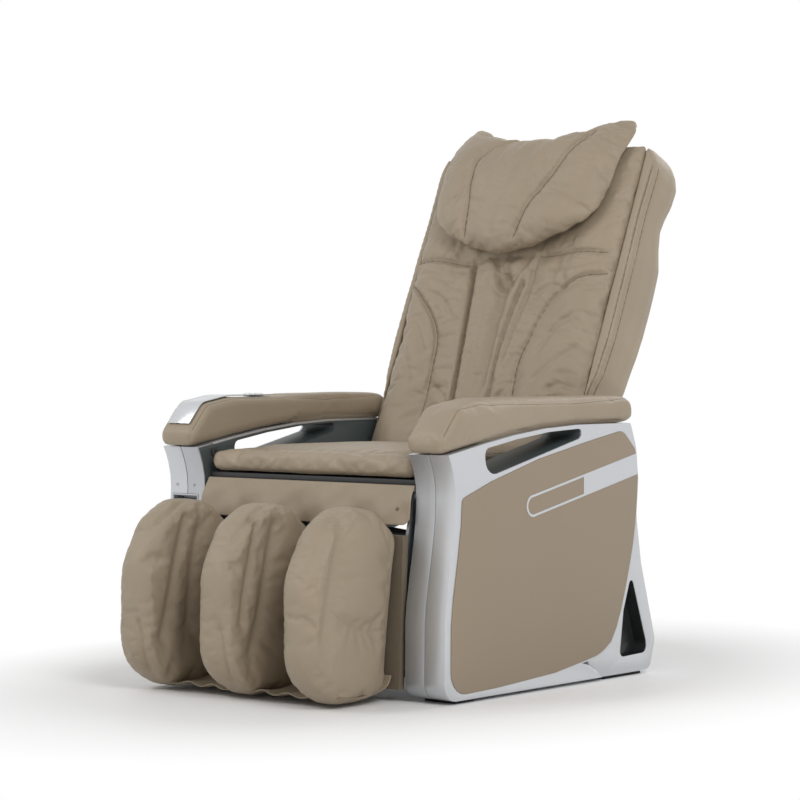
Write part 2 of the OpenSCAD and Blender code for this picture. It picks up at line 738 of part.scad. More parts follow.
module ram_rod(x, base, tip, inner, eye_gap) {
    far = norm(tip - base);
    eye_d = ram_pin + 2 * eye_gap;
    on_ram(x, base, tip) difference() {
        union() {
            rotate([0, 90, 0]) translate([0, 0, inner]) cylinder(d = rod_d, h = far - inner - eye_d / 2);
            translate([far, 0, 0]) rotate([90, 0, 0])
                translate([0, 0, -ram_eye / 2]) cylinder(d = eye_d + 8, h = ram_eye);
        }
        translate([far, 0, 0]) rotate([90, 0, 0])
            translate([0, 0, -ram_eye]) cylinder(d = eye_d, h = 2 * ram_eye);
    }
}

module footrest_ram_body() color(black) placed()
    ram_body(ram_x, footrest_ram_base, footrest_ram_tip, 30);
module footrest_ram_rod() color(steel) placed()
    ram_rod(ram_x, footrest_ram_base, footrest_ram_tip, 46, 14);
module recline_ram_body() color(black) placed()
    ram_body(-ram_x, recline_ram_base, recline_ram_tip, 92);
module recline_ram_rod() color(steel) placed()
    ram_rod(-ram_x, recline_ram_base, recline_ram_tip, 96, 3.5);

// ---------- backrest ----------

// Along the back: X across, Y into the back from its front face, Z up its lean
hip_in = 50;
hip_up = 22;

module in_back() {
    translate([0, recline_y, recline_z]) rotate([-lean, 0, 0])
        translate([0, -hip_in, -hip_up]) children();
}

rear_rows = [[20, back_deep - 34], [200, back_deep - 14], [400, back_deep], [480, back_deep],
             [584, back_deep - 32], [680, back_deep - 10], [720, back_deep - 24]];

// Place on a back of this length of a row that was drawn on one of the usual length
drawn_len = 748;
function up_back(u) = u * back_len / drawn_len;
function rear_v(u) = eased(rear_rows, u * drawn_len / back_len);

side_tube_x = cushion_half - 45;
tube_v = 88;
plate_x = side_tube_x + tube;
guide_v = 100;
top_tube_u = back_len - 98;
guide_x = guide_gap / 2;
screw_journal = screw_d - 4;

module back_frame() color(steel) placed() in_back() difference() {
    union() {
        for (side = [-1, 1]) on_side(side) {
            block([side_tube_x, tube_v, 0], [plate_x, tube_v + tube, top_tube_u + tube]);
            block([plate_x, cushion_t + seat_gap, 44], [plate_x + 3, tube_v + tube, top_tube_u + tube]);
            lug(plate_x, plate_x + lug_t, [hip_in, hip_up], [
                [tube_v - 30, 60], [hip_in, hip_up + 15], [hip_in, hip_up - 15],
                [tube_v, 0], [tube_v + tube, 0], [tube_v + tube, 60]], recline_d - 1);
            translate([0, hip_in, hip_up]) rod_x(recline_d, plate_x, hip_x1 + 1);
        }
        for (u = [0, top_tube_u])
            block([-side_tube_x, tube_v, u], [side_tube_x, tube_v + tube, u + tube]);
        for (x = [-guide_x, guide_x])
            translate([x, guide_v, tube / 2]) cylinder(d = guide_d, h = top_tube_u);
        for (side = [-1, 1]) translate([-ram_x + side * ram_ear_x - lug_t / 2, 0, 0])
            lug(0, lug_t, lever_tip, [[tube_v, 2], lever_tip - [11, 0], lever_tip + [11, 0],
                [tube_v + tube, 2]], ram_pin - 1);
        translate([-ram_x, lever_tip.x, lever_tip.y])
            rod_x(ram_pin, -ram_ear_x - lug_t / 2, ram_ear_x + lug_t / 2);
    }
    for (u = [0, top_tube_u]) translate([0, guide_v, u - 1])
        cylinder(d = screw_journal + 2 * run_gap, h = tube + 2);
}

// The actuator's pin on the back, turned into the back's own axes
lever = recline_ram_tip - hip;
lever_tip = [hip_in + lever.x * cos(lean) - lever.y * sin(lean),
             hip_up + lever.x * sin(lean) + lever.y * cos(lean)];

cover_wall = 3;
cover_us = [20, 60, 110, 160, 210, 260, 310, 360, 410, 460, 500, 530, 560, 584, 610, 640, 670, 700, 722];

module rear_cover() color([0.42, 0.37, 0.31]) placed() in_back() {
    outer = concat([for (u = cover_us) [rear_v(up_back(u)), up_back(u)]],
        [[back_deep - 60, back_len - 10], [cushion_t + seat_gap, back_len - 6]]);
    inner = concat([for (u = cover_us) [rear_v(up_back(u)) - cover_wall, up_back(u)]],
        [[back_deep - 62, back_len - 14], [cushion_t + seat_gap, back_len - 10]]);
    along_x(-cushion_half, cushion_half)
        polygon(concat(outer, [for (i = [len(inner) - 1:-1:0]) inner[i]]));
    for (side = [-1, 1]) on_side(side) along_x(cushion_half - cover_wall, cushion_half)
        polygon(concat([for (p = outer) if (p.y > 50) p], [[tube_v + tube + 6, back_len - 48],
            [tube_v + tube + 6, 60]]));
}

// ---------- back upholstery ----------

function bump(x, middle, half) =
    abs(x - middle) >= half ? 0 : (1 + cos(180 * (x - middle) / half)) / 2;

// How far the front stands forward at x, u: crown, two long rolls and the side rolls, all
// lower where the pillow lies over them
function back_front(x, u) = let (a = abs(x), up = u / back_len)
    let (fall = 1 - pow(a / cushion_half, 6))
    let (bare = max(0, min(1, (eased(pillow_low, a * 236 / pillow_half) + pillow_up - u) / 35)))
    let (rolls = 11 * bump(a, 42, 40) * (0.25 + 0.75 * bare))
    let (arch = 150 + 26 * sin(180 * min(1, up / 0.62)))
    let (sides = 13 * bump(a, arch + 55, 85) * (0.4 + 0.6 * bare))
    let (seam = 5 * bump(u, 0.63 * back_len, 20))
    fall * (6 + rolls + sides - seam);

hip_tuck = 6;
back_xs = [for (i = [-15:15]) cushion_half * sin(6 * i)];
back_us = [0, 8, 30, 70, 120, 175, 230, 285, 340, 390, 430, 455, 470, 485, 510, 550, 600, 650,
           700, 735, 745];

module back_cushion() color(taupe) placed() in_back() loft([for (u = back_us)
    let (end = min(1, 0.35 + min(u, back_us[20] - u) / 22))
    let (tuck = hip_tuck * max(0, 1 - u / 90))
    let (mid = cushion_t * 0.62, half = cushion_half - 8 * (1 - end) - tuck)
    let (rear = u < hip_up + 16 ? hip_in - 17 : cushion_t, recede = 0.45 * max(0, u - pillow_up - 684))
    concat([for (x = back_xs) [x * half / cushion_half,
                mid - max(2, mid - 6 - recede + back_front(x, u) * end) * (0.55 + 0.45 * end)
                    * pow(max(0.02, 1 - pow(abs(x) / cushion_half, 10)), 0.4), u * back_len / 745]],
           [for (x = [1, 0.5, 0, -0.5, -1]) [x * (half - 1), mid + (rear - mid)
                * (0.3 + 0.7 * end), u * back_len / 745]])
]);

wing_rows = [[62, 6], [165, 8], [225, 24], [300, 30], [480, 29], [590, 25], [690, 29], [740, 20]];

function wing_at(u) = wing_out / 30 * eased(wing_rows, u) + 1;

module back_side(side) color(taupe) placed() on_side(side) in_back() {
    x0 = cushion_half + seat_gap;
    loft([for (u = [62, 66, 80, 110, 150, 185, 215, 250, 300, 350, 400, 450, 500, 550, 584, 615, 650,
                    690, 715, 732, 742])
        let (end = u < 70 ? 0.4 : (u > 738 ? 0.45 : (u > 728 ? 0.8 : 1)))
        let (out = wing_at(u) * end, z = up_back(u),
             deep = (rear_v(up_back(u)) - 8) * (u > 728 ? 0.6 + 0.4 * end : 1))
        [[x0, 8, z], [x0 + out * 0.35, 7, z], [x0 + out * 0.68, 15, z],
         [x0 + out * 0.9, 38, z], [x0 + out, 0.5 * deep, z],
         [x0 + out * 0.93, 0.78 * deep, z], [x0 + out * 0.7, 0.95 * deep, z],
         [x0 + out * 0.35, deep, z], [x0, deep - 1, z], [x0, 0.5 * deep, z]]]);
}

pillow_low = [[0, 462], [69, 478], [145, 508], [190, 538], [222, 572], [236, 640]];
pillow_high = [[0, 750], [60, 755], [120, 772], [170, 798], [208, 815], [224, 812], [236, 780]];
pillow_back = -6;
pillow_up = back_len - drawn_len;

module head_pillow() color(taupe) placed() in_back() loft([for (i = [-13:13])
    let (x = pillow_half * sin(90 * i / 13), a = abs(x) * 236 / pillow_half)
    let (low = eased(pillow_low, a) + pillow_up, high = eased(pillow_high, a) + pillow_up)
    let (mid = (low + high) / 2)
    let (t = pillow_t * (1 - 0.82 * pow(a / 236, 4)), half = (high - low) / 2)
    [for (k = [0:23]) let (c = cos(15 * k), s = sin(15 * k))
        let (u = mid + half * sign(s) * pow(abs(s), 0.7))
        let (lean_back = 0.45 * max(0, u - pillow_up - 690))
        let (v = pillow_back - t / 2 + (t / 2) * sign(c) * pow(abs(c), 0.7))
        [x, v + lean_back, u]]
]);

// ---------- massage carriage ----------

knead_x = arm_gap / 2;
carriage_mid = carriage_u + 55;
plate_v = guide_v + guide_d / 2 + 4;
roller_v = cushion_t + 1 + roller_d / 2;
roller_pitch = 96;
pin_d = 12;
arm_t = 8;

module lead_screw() color(steel) placed() in_back() translate([0, guide_v, 0]) {
    translate([0, 0, tube + 0.5]) cylinder(d = screw_d, h = top_tube_u - tube - 1);
    translate([0, 0, 2]) cylinder(d = screw_journal, h = top_tube_u + tube - 2);
}

module screw_motor() color(black) placed() in_back()
    translate([0, guide_v, top_tube_u + tube]) difference() {
        union() {
            cylinder(d = 40, h = 44);
            cylinder(d = 46, h = 8);
        }
        translate([0, 0, -1]) cylinder(d = screw_journal + 2, h = 5);
    }

module carriage() color(dark) placed() in_back() difference() {
    union() {
        block([-guide_x - 16, plate_v, carriage_u], [guide_x + 16, plate_v + 5, carriage_u + 110]);
        for (x = [-guide_x, guide_x]) translate([x, guide_v, carriage_u + 10])
            cylinder(d = guide_d + 12, h = 90);
        translate([0, guide_v, carriage_u + 35]) cylinder(d = screw_d + 14, h = 40);
        for (x = [-knead_x, knead_x]) translate([x, plate_v + 1, carriage_mid]) rotate([90, 0, 0])
            cylinder(d = pin_d, h = plate_v + 1 - roller_v - arm_t / 2);
    }
    for (x = [-guide_x, guide_x]) translate([x, guide_v, carriage_u - 1])
        cylinder(d = guide_d + 2 * run_gap, h = 120);
    translate([0, guide_v, carriage_u - 1]) cylinder(d = screw_d + 2 * run_gap, h = 120);
}

module knead_arm(side) color(steel) placed() in_back() on_side(side)
    translate([knead_x, 0, carriage_mid]) difference() {
        union() {
            block([-arm_t / 2, roller_v - 9, -roller_pitch / 2 - 9],
                  [arm_t / 2, roller_v + 9, roller_pitch / 2 + 9]);
            translate([0, plate_v - 0.5, 0]) rotate([90, 0, 0])
                cylinder(d = pin_d + 12, h = plate_v - 0.5 - roller_v);
            for (z = [-1, 1]) translate([0, roller_v, z * roller_pitch / 2])
                rod_x(10, 0, arm_t / 2 + roller_w + 3);
        }
        translate([0, plate_v, 0]) rotate([90, 0, 0])
            cylinder(d = pin_d + 2 * run_gap, h = plate_v - roller_v + 12);
    }

module roller(side, up) color([0.75, 0.74, 0.7]) placed() in_back() on_side(side)
    translate([knead_x + arm_t / 2 + 1, roller_v, carriage_mid + up * roller_pitch / 2])
    rotate([0, 90, 0]) rotate_extrude($fn = 64) polygon([
        [5 + run_gap, 0], [roller_d / 2 - 8, 0], [roller_d / 2 - 3, 2], [roller_d / 2, 7],
        [roller_d / 2, roller_w - 7], [roller_d / 2 - 3, roller_w - 2],
        [roller_d / 2 - 8, roller_w], [5 + run_gap, roller_w]]);

// ---------- pay and control ----------

plate_t = 2;
plate_z = pad_top_z + seat_gap;
plate_end_y = pad_front_y + plate_len;
pocket_y = 136;
pod_x = post_mid_x;
button_y = plate_end_y - 22;
button_step = button_d + 4;
lens_y0 = pocket_y + 4;
lens_y1 = button_y - button_d / 2 - 8;
lens_half = plate_w / 2 - 9;
bill_z = 368;
bill_x = post_mid_x + 6;
mouth_h = 16;
mouth_wall = 4;
lock_at = [50, 463];

// Pocket in the right arm pad below the control plate
module plate_cut() {
    block([pod_x - plate_w / 2 + 4, pocket_y, pad_top_z - 9],
          [pod_x + plate_w / 2 - 4, plate_end_y - 6, pad_top_z + 2]);
}

module control_plate() color(silver) placed() on_side(-1) difference() {
    along_x(pod_x - plate_w / 2, pod_x + plate_w / 2) intersection() {
        difference() {
            polygon(outline(inset(pad_corners(), -seat_gap - plate_t), 8));
            polygon(outline(inset(pad_corners(), -seat_gap), 8));
        }
        polygon([[pad_front_y - 20, post_top_z + 47], [plate_end_y, post_top_z + 60],
                 [plate_end_y, pad_top_z + 20], [pad_front_y - 20, pad_top_z + 20]]);
    }
    block([pod_x - lens_half - seat_gap, lens_y0 - seat_gap, plate_z - 1],
          [pod_x + lens_half + seat_gap, lens_y1 + seat_gap, plate_z + plate_t + 1]);
    for (i = [-1:1]) translate([pod_x + i * button_step, button_y, plate_z - 1])
        cylinder(d = button_d + 2 * run_gap, h = plate_t + 2);
}

module display_lens() color([0.45, 0.75, 0.72]) placed() on_side(-1)
    block([pod_x - lens_half, lens_y0, plate_z], [pod_x + lens_half, lens_y1, plate_z + plate_t + 0.2]);

module button(i) color([0.9, 0.9, 0.9]) placed() on_side(-1)
    translate([pod_x + i * button_step, button_y, plate_z]) {
        translate([0, 0, -0.1]) cylinder(d = button_d, h = plate_t + button_travel + 1);
        translate([0, 0, -2.1]) cylinder(d = button_d + 2.6, h = 2);
    }

// Mouth of the bill acceptor in the right post, made larger by grow
module bill_cut(grow) {
    block([bill_x - bill_w / 2 - mouth_wall - grow, -10, bill_z - mouth_h / 2 - grow],
          [bill_x + bill_w / 2 + mouth_wall + grow, 62, bill_z + mouth_h / 2 + grow]);
}

module bill_acceptor() color(silver) placed() on_side(-1) {
    front = post_front(bill_z) - 1;
    difference() {
        block([bill_x - bill_w / 2 - mouth_wall, front, bill_z - mouth_h / 2],
              [bill_x + bill_w / 2 + mouth_wall, 62, bill_z + mouth_h / 2]);
        block([bill_x - bill_w / 2, front - 1, bill_z - 2.5], [bill_x + bill_w / 2, 50, bill_z + 2.5]);
        along_x(bill_x - bill_w / 2 - 1, bill_x + bill_w / 2 + 1)
            polygon([[front - 1, bill_z - 6], [front + 9, bill_z - 2.5], [front + 9, bill_z + 2.5],
                     [front - 1, bill_z + 5]]);
    }
    for (x = [bill_x - 24, bill_x + 24]) translate([x, post_front(bill_z + 27) - 0.5, bill_z + 27])
        rotate([90, 0, 0]) difference() {
            cylinder(d = 6, h = 1.6);
            translate([0, 0, 0.8]) cylinder(d = 2.6, h = 2, $fn = 6);
        }
}

module cash_box() color(dark) placed() on_side(-1)
    block([bill_x - bill_w / 2 - 4, 62 + seat_gap, 236], [bill_x + bill_w / 2 + 1, 196, 410]);

module lock_cylinder() color(black) placed() on_side(-1)
    translate([0, lock_at.x, lock_at.y]) difference() {
        union() {
            rod_x(lock_d, inner_x - 1, inner_x + 14);
            rod_x(lock_d + 4, inner_x - 2, inner_x + 0.8);
            block([inner_x + 14, -7, -34], [inner_x + 16, 7, 8]);
        }
        block([inner_x - 3, -1, -3.5], [inner_x + 4, 1, 3.5]);
    }

module control_box() color(dark) placed() difference() {
    block([100, 322, pan_z0 - 66], [222, 452, pan_z0 - seat_gap]);
    for (i = [0:5]) block([118 + 15 * i, 321, pan_z0 - 52], [124 + 15 * i, 326, pan_z0 - 20]);
}

module power_inlet() color(black) placed() difference() {
    block([150, rear_cross_y + tube, rail_z - 2], [200, rear_cross_y + tube + 22, rail_z + tube + 2]);
    block([161, rear_cross_y + tube + 8, rail_z + 3], [189, rear_cross_y + tube + 24, rail_z + tube - 4]);
}

front_frame();
side_frame(1);  // side_frame_left
side_frame(-1);  // side_frame_right
cross_tubes();
side_shell(1);  // side_shell_left
side_shell(-1);  // side_shell_right
post_cover(1);  // post_cover_left
post_cover(-1);  // post_cover_right
inner_liner(1);  // inner_liner_left
inner_liner(-1);  // inner_liner_right
inlay(1);  // inlay_left
inlay(-1);  // inlay_right
inlay_trim(1);  // inlay_trim_left
inlay_trim(-1);  // inlay_trim_right
arm_pad(1);  // arm_pad_left
arm_pad(-1);  // arm_pad_right
rear_foot(1);  // rear_foot_left
rear_foot(-1);  // rear_foot_right
rubber_feet();
wheel_axles();
wheel(1);  // wheel_left
wheel(-1);  // wheel_right
seat_pan();
seat_cushion();
seat_apron();
control_plate();
display_lens();
button(-1);  // button_start
button(0);  // button_recline
button(1);  // button_upright
bill_acceptor();
cash_box();
lock_cylinder();
control_box();
power_inlet();
footrest_shaft();
footrest_frame();
footrest_board();
calf_pad(calf_pitch);  // calf_pad_left
calf_pad(0);  // calf_pad_middle
calf_pad(-calf_pitch);  // calf_pad_right
footrest_ram_body();
footrest_ram_rod();
recline_ram_body();
recline_ram_rod();
back_frame();
rear_cover();
back_cushion();
back_side(1);  // back_side_left
back_side(-1);  // back_side_right
head_pillow();
lead_screw();
screw_motor();
carriage();
knead_arm(1);  // knead_arm_left
knead_arm(-1);  // knead_arm_right
roller(1, 1);  // roller_upper_left
roller(1, -1);  // roller_lower_left
roller(-1, 1);  // roller_upper_right
roller(-1, -1);  // roller_lower_right
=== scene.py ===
import json
import math

import bmesh
import bpy
import numpy as np
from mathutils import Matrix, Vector
from mathutils.bvhtree import BVHTree


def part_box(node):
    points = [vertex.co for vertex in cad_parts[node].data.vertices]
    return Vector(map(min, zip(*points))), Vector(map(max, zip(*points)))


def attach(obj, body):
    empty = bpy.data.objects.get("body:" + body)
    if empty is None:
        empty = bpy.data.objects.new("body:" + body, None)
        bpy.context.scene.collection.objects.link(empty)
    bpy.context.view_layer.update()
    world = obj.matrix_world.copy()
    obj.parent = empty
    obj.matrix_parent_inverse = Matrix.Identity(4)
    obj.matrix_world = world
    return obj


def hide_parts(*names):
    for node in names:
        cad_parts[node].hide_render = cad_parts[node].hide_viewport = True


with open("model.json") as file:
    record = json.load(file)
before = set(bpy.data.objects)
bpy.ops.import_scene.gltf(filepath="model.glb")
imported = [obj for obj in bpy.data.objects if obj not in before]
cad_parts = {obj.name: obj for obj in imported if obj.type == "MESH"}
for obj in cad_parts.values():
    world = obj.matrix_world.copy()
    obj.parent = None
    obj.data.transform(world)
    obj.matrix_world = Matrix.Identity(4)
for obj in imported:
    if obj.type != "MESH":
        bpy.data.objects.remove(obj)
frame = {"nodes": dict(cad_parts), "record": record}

bl_info = {
    "name": "Coin-Operated Massage Chair",
    "version": (1, 0, 0),
    "blender": (4, 5, 0),
    "location": "View3D > Sidebar > Chair",
    "description": "Upholsters and finishes a coin-operated massage chair around its fixed frame",
    "category": "Object",
}

MM = 0.001
NODES = frame["nodes"]
JOINTS = {j["name"]: j for j in frame["record"]["behaviour"]["joints"]}
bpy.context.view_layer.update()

# ---------------------------------------------------------------- sizes from the frame

PAD_LOW, PAD_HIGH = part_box("arm_pad_left")
SEAT_LOW, SEAT_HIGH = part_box("seat_cushion")
APRON_LOW, APRON_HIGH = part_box("seat_apron")
BOARD_LOW, BOARD_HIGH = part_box("footrest_board")
HIP = Vector(JOINTS["recline"]["pos_m"])
# The front posts' faces, from which depths in the pieces' own tables are counted
POSTS_BEFORE_HIP = 0.545
POST_Y = HIP.y - POSTS_BEFORE_HIP
BACK_UP = Vector(JOINTS["carriage_travel"]["axis"]).normalized()
BACK_IN = Vector((0.0, BACK_UP.z, -BACK_UP.y))
# The hip pivot lies this far into the back and up from the lower edge of its front face
HIP_IN = 0.050
HIP_UP = 0.022
BACK_ORIGIN = HIP - BACK_IN * HIP_IN - BACK_UP * HIP_UP

# How far out from the middle the rear feet's recesses lie, from their floor to their rim
WINDOW_FLOOR = 0.340
WINDOW_RIM = 0.3745


def srgb(red, green, blue):
    """A colour given as 0 to 255, as Blender's linear values."""
    def linear(value):
        value /= 255
        return value / 12.92 if value <= 0.04045 else ((value + 0.055) / 1.055) ** 2.4
    return (linear(red), linear(green), linear(blue), 1.0)


# ---------------------------------------------------------------- shader expressions

class Wire:
    """A shader socket that can be used in sums."""

    def __init__(self, graph, socket):
        self.graph = graph
        self.socket = socket

    def _math(self, operation, first, second=0.0):
        return self.graph.node("ShaderNodeMath", {"operation": operation}, {0: first, 1: second})

    def __add__(self, other):
        return self._math("ADD", self, other)

    def __radd__(self, other):
        return self._math("ADD", other, self)

    def __sub__(self, other):
        return self._math("SUBTRACT", self, other)

    def __rsub__(self, other):
        return self._math("SUBTRACT", other, self)

    def __mul__(self, other):
        return self._math("MULTIPLY", self, other)

    def __truediv__(self, other):
        return self._math("DIVIDE", self, other)

    def __pow__(self, other):
        return self._math("POWER", self, other)

    def __gt__(self, other):
        return self._math("GREATER_THAN", self, other)

    def __lt__(self, other):
        return self._math("LESS_THAN", self, other)

    def __abs__(self):
        return self._math("ABSOLUTE", self)

    def clamp(self):
        return self.graph.node("ShaderNodeClamp", {}, {0: self})


class Graph:
    """The nodes of one material."""

    def __init__(self, tree):
        self.tree = tree

    def node(self, kind, settings=None, inputs=None, out=0):
        made = self.tree.nodes.new(kind)
        for name, value in (settings or {}).items():
            if name == "stops":
                ramp = made.color_ramp.elements
                while len(ramp) < len(value):
                    ramp.new(0.5)
                for element, (place, color) in zip(ramp, value):
                    element.position = place
                    element.color = color
            else:
                setattr(made, name, value)
        for name, value in (inputs or {}).items():
            if isinstance(value, Wire):
                self.tree.links.new(value.socket, made.inputs[name])
            else:
                made.inputs[name].default_value = value
        return Wire(self, made.outputs[out]) if made.outputs else None

    def place(self):
        """Coordinates of the shading point, fixed to the piece, in metres."""
        return self.node("ShaderNodeTexCoord", out=3)

    def axes(self, place):
        split = self.node("ShaderNodeSeparateXYZ", {}, {0: place})
        return [split] + [Wire(self, split.socket.node.outputs[i]) for i in (1, 2)]

    def stretched(self, place, scale):
        return self.node("ShaderNodeVectorMath", {"operation": "MULTIPLY"}, {0: place, 1: scale})

    def noise(self, place, scale, detail=2.0, rough=0.5):
        return self.node("ShaderNodeTexNoise", {}, {
            "Vector": place, "Scale": scale, "Detail": detail, "Roughness": rough})

    def cells(self, place, scale, feature="DISTANCE_TO_EDGE"):
        return self.node("ShaderNodeTexVoronoi", {"feature": feature},
                         {"Vector": place, "Scale": scale})

    def blend(self, factor, first, second):
        return self.node("ShaderNodeMix", {"data_type": "RGBA"},
                         {0: factor, 6: first, 7: second}, out=2)

    def bump(self, height, distance, strength=1.0, normal=None):
        inputs = {"Height": height, "Distance": distance, "Strength": strength}
        if normal:
            inputs["Normal"] = normal
        return self.node("ShaderNodeBump", {}, inputs)


def empty_graph(owner):
    """The nodes of a material or a world, with none in them yet."""
    owner.use_nodes = True
    owner.node_tree.nodes.clear()
    return Graph(owner.node_tree)


def finish(name, build):
    """A material whose shader's sockets take what build(graph) returns."""
    material = bpy.data.materials.new(name)
    graph = empty_graph(material)
    shader = graph.node("ShaderNodeBsdfPrincipled", {}, build(graph))
    graph.node("ShaderNodeOutputMaterial", {}, {"Surface": shader})
    return material


def darker(color, share):
    return tuple(v * share for v in color[:3]) + (1.0,)


def leather(name, color, grain=1.0, polish=0.46):
    """Soft upholstery leather: cell grain, fine creases and a little colour drift."""
    def build(g):
        place = g.place()
        drift = g.noise(place, 7.0, 3.0)
        pores = g.cells(place, 620.0)
        folds = g.noise(g.stretched(place, (1.0, 0.6, 0.6)), 46.0, 4.0, 0.62)
        worn = g.noise(place, 21.0, 5.0)
        tone = g.blend((drift * 1.5 - 0.25).clamp(), darker(color, 0.93), darker(color, 1.06))
        tone = g.blend((1.0 - pores * 9.0).clamp() * 0.16, tone, darker(color, 0.62))
        tone = g.blend((worn * 2.0 - 1.05).clamp() * 0.16, tone, darker(color, 1.16))
        skin = g.bump((pores * 7.0).clamp(), 0.00022, 0.55 * grain)
        return {
            "Base Color": tone,
            "Roughness": (polish + worn * 0.12 - pores * 0.25).clamp(),
            "Normal": g.bump(folds, 0.0011, 0.42 * grain, skin),
            "Specular IOR Level": 0.42,
            "Sheen Weight": 0.06,
            "Sheen Roughness": 0.5,
        }
    return finish(name, build)


def board_skin(name, color):
    """Smooth leather-look film on the flat side inlays."""
    def build(g):
        place = g.place()
        drift = g.noise(place, 3.2, 2.0)
        pores = g.cells(place, 480.0)
        tone = g.blend(drift, darker(color, 0.95), darker(color, 1.04))
        return {
            "Base Color": tone,
            "Roughness": 0.44 + drift * 0.1,
            "Normal": g.bump((pores * 6.0).clamp(), 0.00012, 0.35),
            "Specular IOR Level": 0.4,
        }
    return finish(name, build)


def silver_paint(name, color, gloss=0.3, window=()):
    """Metallic paint on moulded plastic: flake sparkle, orange peel and a clear coat.

    A window is the corners, in y and z, of a recess whose inside is coloured dark grey as painted
    shade, for the shade that falls in it."""
    def build(g):
        place = g.place()
        flakes = g.cells(place, 2600.0, "F1")
        peel = g.noise(place, 260.0, 2.0)
        dust = g.noise(place, 9.0, 4.0)
        tone = g.blend((flakes * 0.9).clamp(), darker(color, 1.05), darker(color, 0.93))
        if window:
            x, y, z = g.axes(place)
            # Painted shade: inside the recess the silver is replaced by dark grey, standing in for
            # the shade that falls there.
            recess_shade = (abs(x) < WINDOW_RIM) * (abs(x) > WINDOW_FLOOR)
            for (y0, z0), (y1, z1) in zip(window, window[1:] + window[:1]):
                recess_shade = recess_shade * (((z - z0) * (y1 - y0) - (y - y0) * (z1 - z0)) > 0)
            tone = g.blend(recess_shade, tone, srgb(44, 46, 46))
        return {
            "Base Color": tone,
            "Metallic": 0.6,
            "Roughness": gloss + dust * 0.1,
            "Coat Weight": 0.25,
            "Coat Roughness": 0.16,
            "Normal": g.bump(peel, 0.0002, 0.10),
        }
    return finish(name, build)


def brushed_silver(name, color):
    """Silver film with a vertical brushed grain, as on the front posts."""
    def build(g):
        place = g.place()
        streaks = g.noise(g.stretched(place, (900.0, 900.0, 9.0)), 1.0, 3.0, 0.6)
        broad = g.noise(g.stretched(place, (120.0, 120.0, 1.6)), 1.0, 2.0)
        tone = g.blend((streaks * 0.6 + broad * 0.5 - 0.05).clamp(),
                       darker(color, 0.84), darker(color, 1.08))
        return {
            "Base Color": tone,
            "Metallic": 0.72,
            "Roughness": 0.30 + streaks * 0.16,
            "Normal": g.bump(streaks, 0.0002, 0.18),
        }
    return finish(name, build)


def plastic(name, color, rough=0.5, texture=1.0):
    """Moulded plastic with a fine spark-eroded surface and light scuffs."""
    def build(g):
        place = g.place()
        spark = g.noise(place, 900.0, 3.0, 0.7)
        scuffs = g.noise(g.stretched(place, (30.0, 30.0, 90.0)), 1.0, 5.0, 0.7)
        tone = g.blend((scuffs * 2.2 - 1.1).clamp() * 0.35, color, darker(color, 1.5))
        return {
            "Base Color": tone,
            "Roughness": (rough + scuffs * 0.12).clamp(),
            "Normal": g.bump(spark, 0.00025, 0.3 * texture),
        }
    return finish(name, build)


def steel(name, color, rough=0.3, turned=(1.0, 1.0, 1.0)):
    """Bare steel with a drawn grain along one axis."""
    def build(g):
        place = g.place()
        lines = g.noise(g.stretched(place, tuple(500.0 * t for t in turned)), 1.0, 3.0, 0.6)
        stain = g.noise(place, 14.0, 4.0)
        return {
            "Base Color": g.blend(stain, darker(color, 0.86), darker(color, 1.05)),
            "Metallic": 1.0,
            "Roughness": (rough + lines * 0.12 + stain * 0.08).clamp(),
            "Normal": g.bump(lines, 0.0001, 0.2),
        }
    return finish(name, build)


def frame_paint(name, color):
    """Black powder coat with its fine orange peel and worn spots."""
    def build(g):
        place = g.place()
        peel = g.noise(place, 420.0, 3.0)
        worn = g.noise(place, 26.0, 6.0, 0.7)
        return {
            "Base Color": g.blend((worn * 5.0 - 3.4).clamp(), color, (0.2, 0.2, 0.21, 1.0)),
            "Roughness": 0.42 + worn * 0.14,
            "Normal": g.bump(peel, 0.0004, 0.35),
        }
    return finish(name, build)


def thread(name, color):
    """Sewing thread with the twist of its plies."""
    def build(g):
        twist = g.noise(g.place(), 1500.0, 2.0)
        return {
            "Base Color": g.blend(twist, darker(color, 0.7), color),
            "Roughness": 0.7,
            "Normal": g.bump(twist, 0.0002, 0.6),
        }
    return finish(name, build)


def display_glass(name, places):
    """Tinted lens over a lit display: soft fields of blue and green behind plain glass."""
    def build(g):
        place = g.place()
        x, y, _ = g.axes(place)
        low, high = places
        along = (y - low[1]) / (high[1] - low[1])
        across = (x - low[0]) / (high[0] - low[0])
        tint = g.node("ShaderNodeValToRGB", {"stops": [
            (0.0, (0.30, 0.42, 0.36, 1.0)), (0.35, (0.10, 0.36, 0.46, 1.0)),
            (0.62, (0.16, 0.48, 0.50, 1.0)), (1.0, (0.42, 0.56, 0.40, 1.0))]}, {0: along})
        bars = (abs(across - 0.5) < 0.36) * (abs(along - 0.42) < 0.16)
        return {
            "Base Color": g.blend(bars * 0.55, tint, (0.03, 0.12, 0.22, 1.0)),
            "Roughness": 0.12 + across * 0.02,
            "Emission Color": g.blend(bars, (0.02, 0.05, 0.05, 1.0), (0.06, 0.40, 0.52, 1.0)),
            "Emission Strength": 0.35,
            "Coat Weight": 0.8,
            "Coat Roughness": 0.05,
        }
    return finish(name, build)


# ---------------------------------------------------------------- mesh helpers

def added(name, data):
    """A new object in the scene."""
    piece = bpy.data.objects.new(name, data)
    bpy.context.scene.collection.objects.link(piece)
    return piece


def mesh_from(name, shape):
    """A mesh from a bmesh, which is let go."""
    mesh = bpy.data.meshes.new(name)
    shape.to_mesh(mesh)
    shape.free()
    return mesh


def coat(mesh, material):
    """Gives a mesh one material, in place of any that it has."""
    mesh.materials.clear()
    mesh.materials.append(material)


def smooth(mesh):
    mesh.polygons.foreach_set("use_smooth", [True] * len(mesh.polygons))


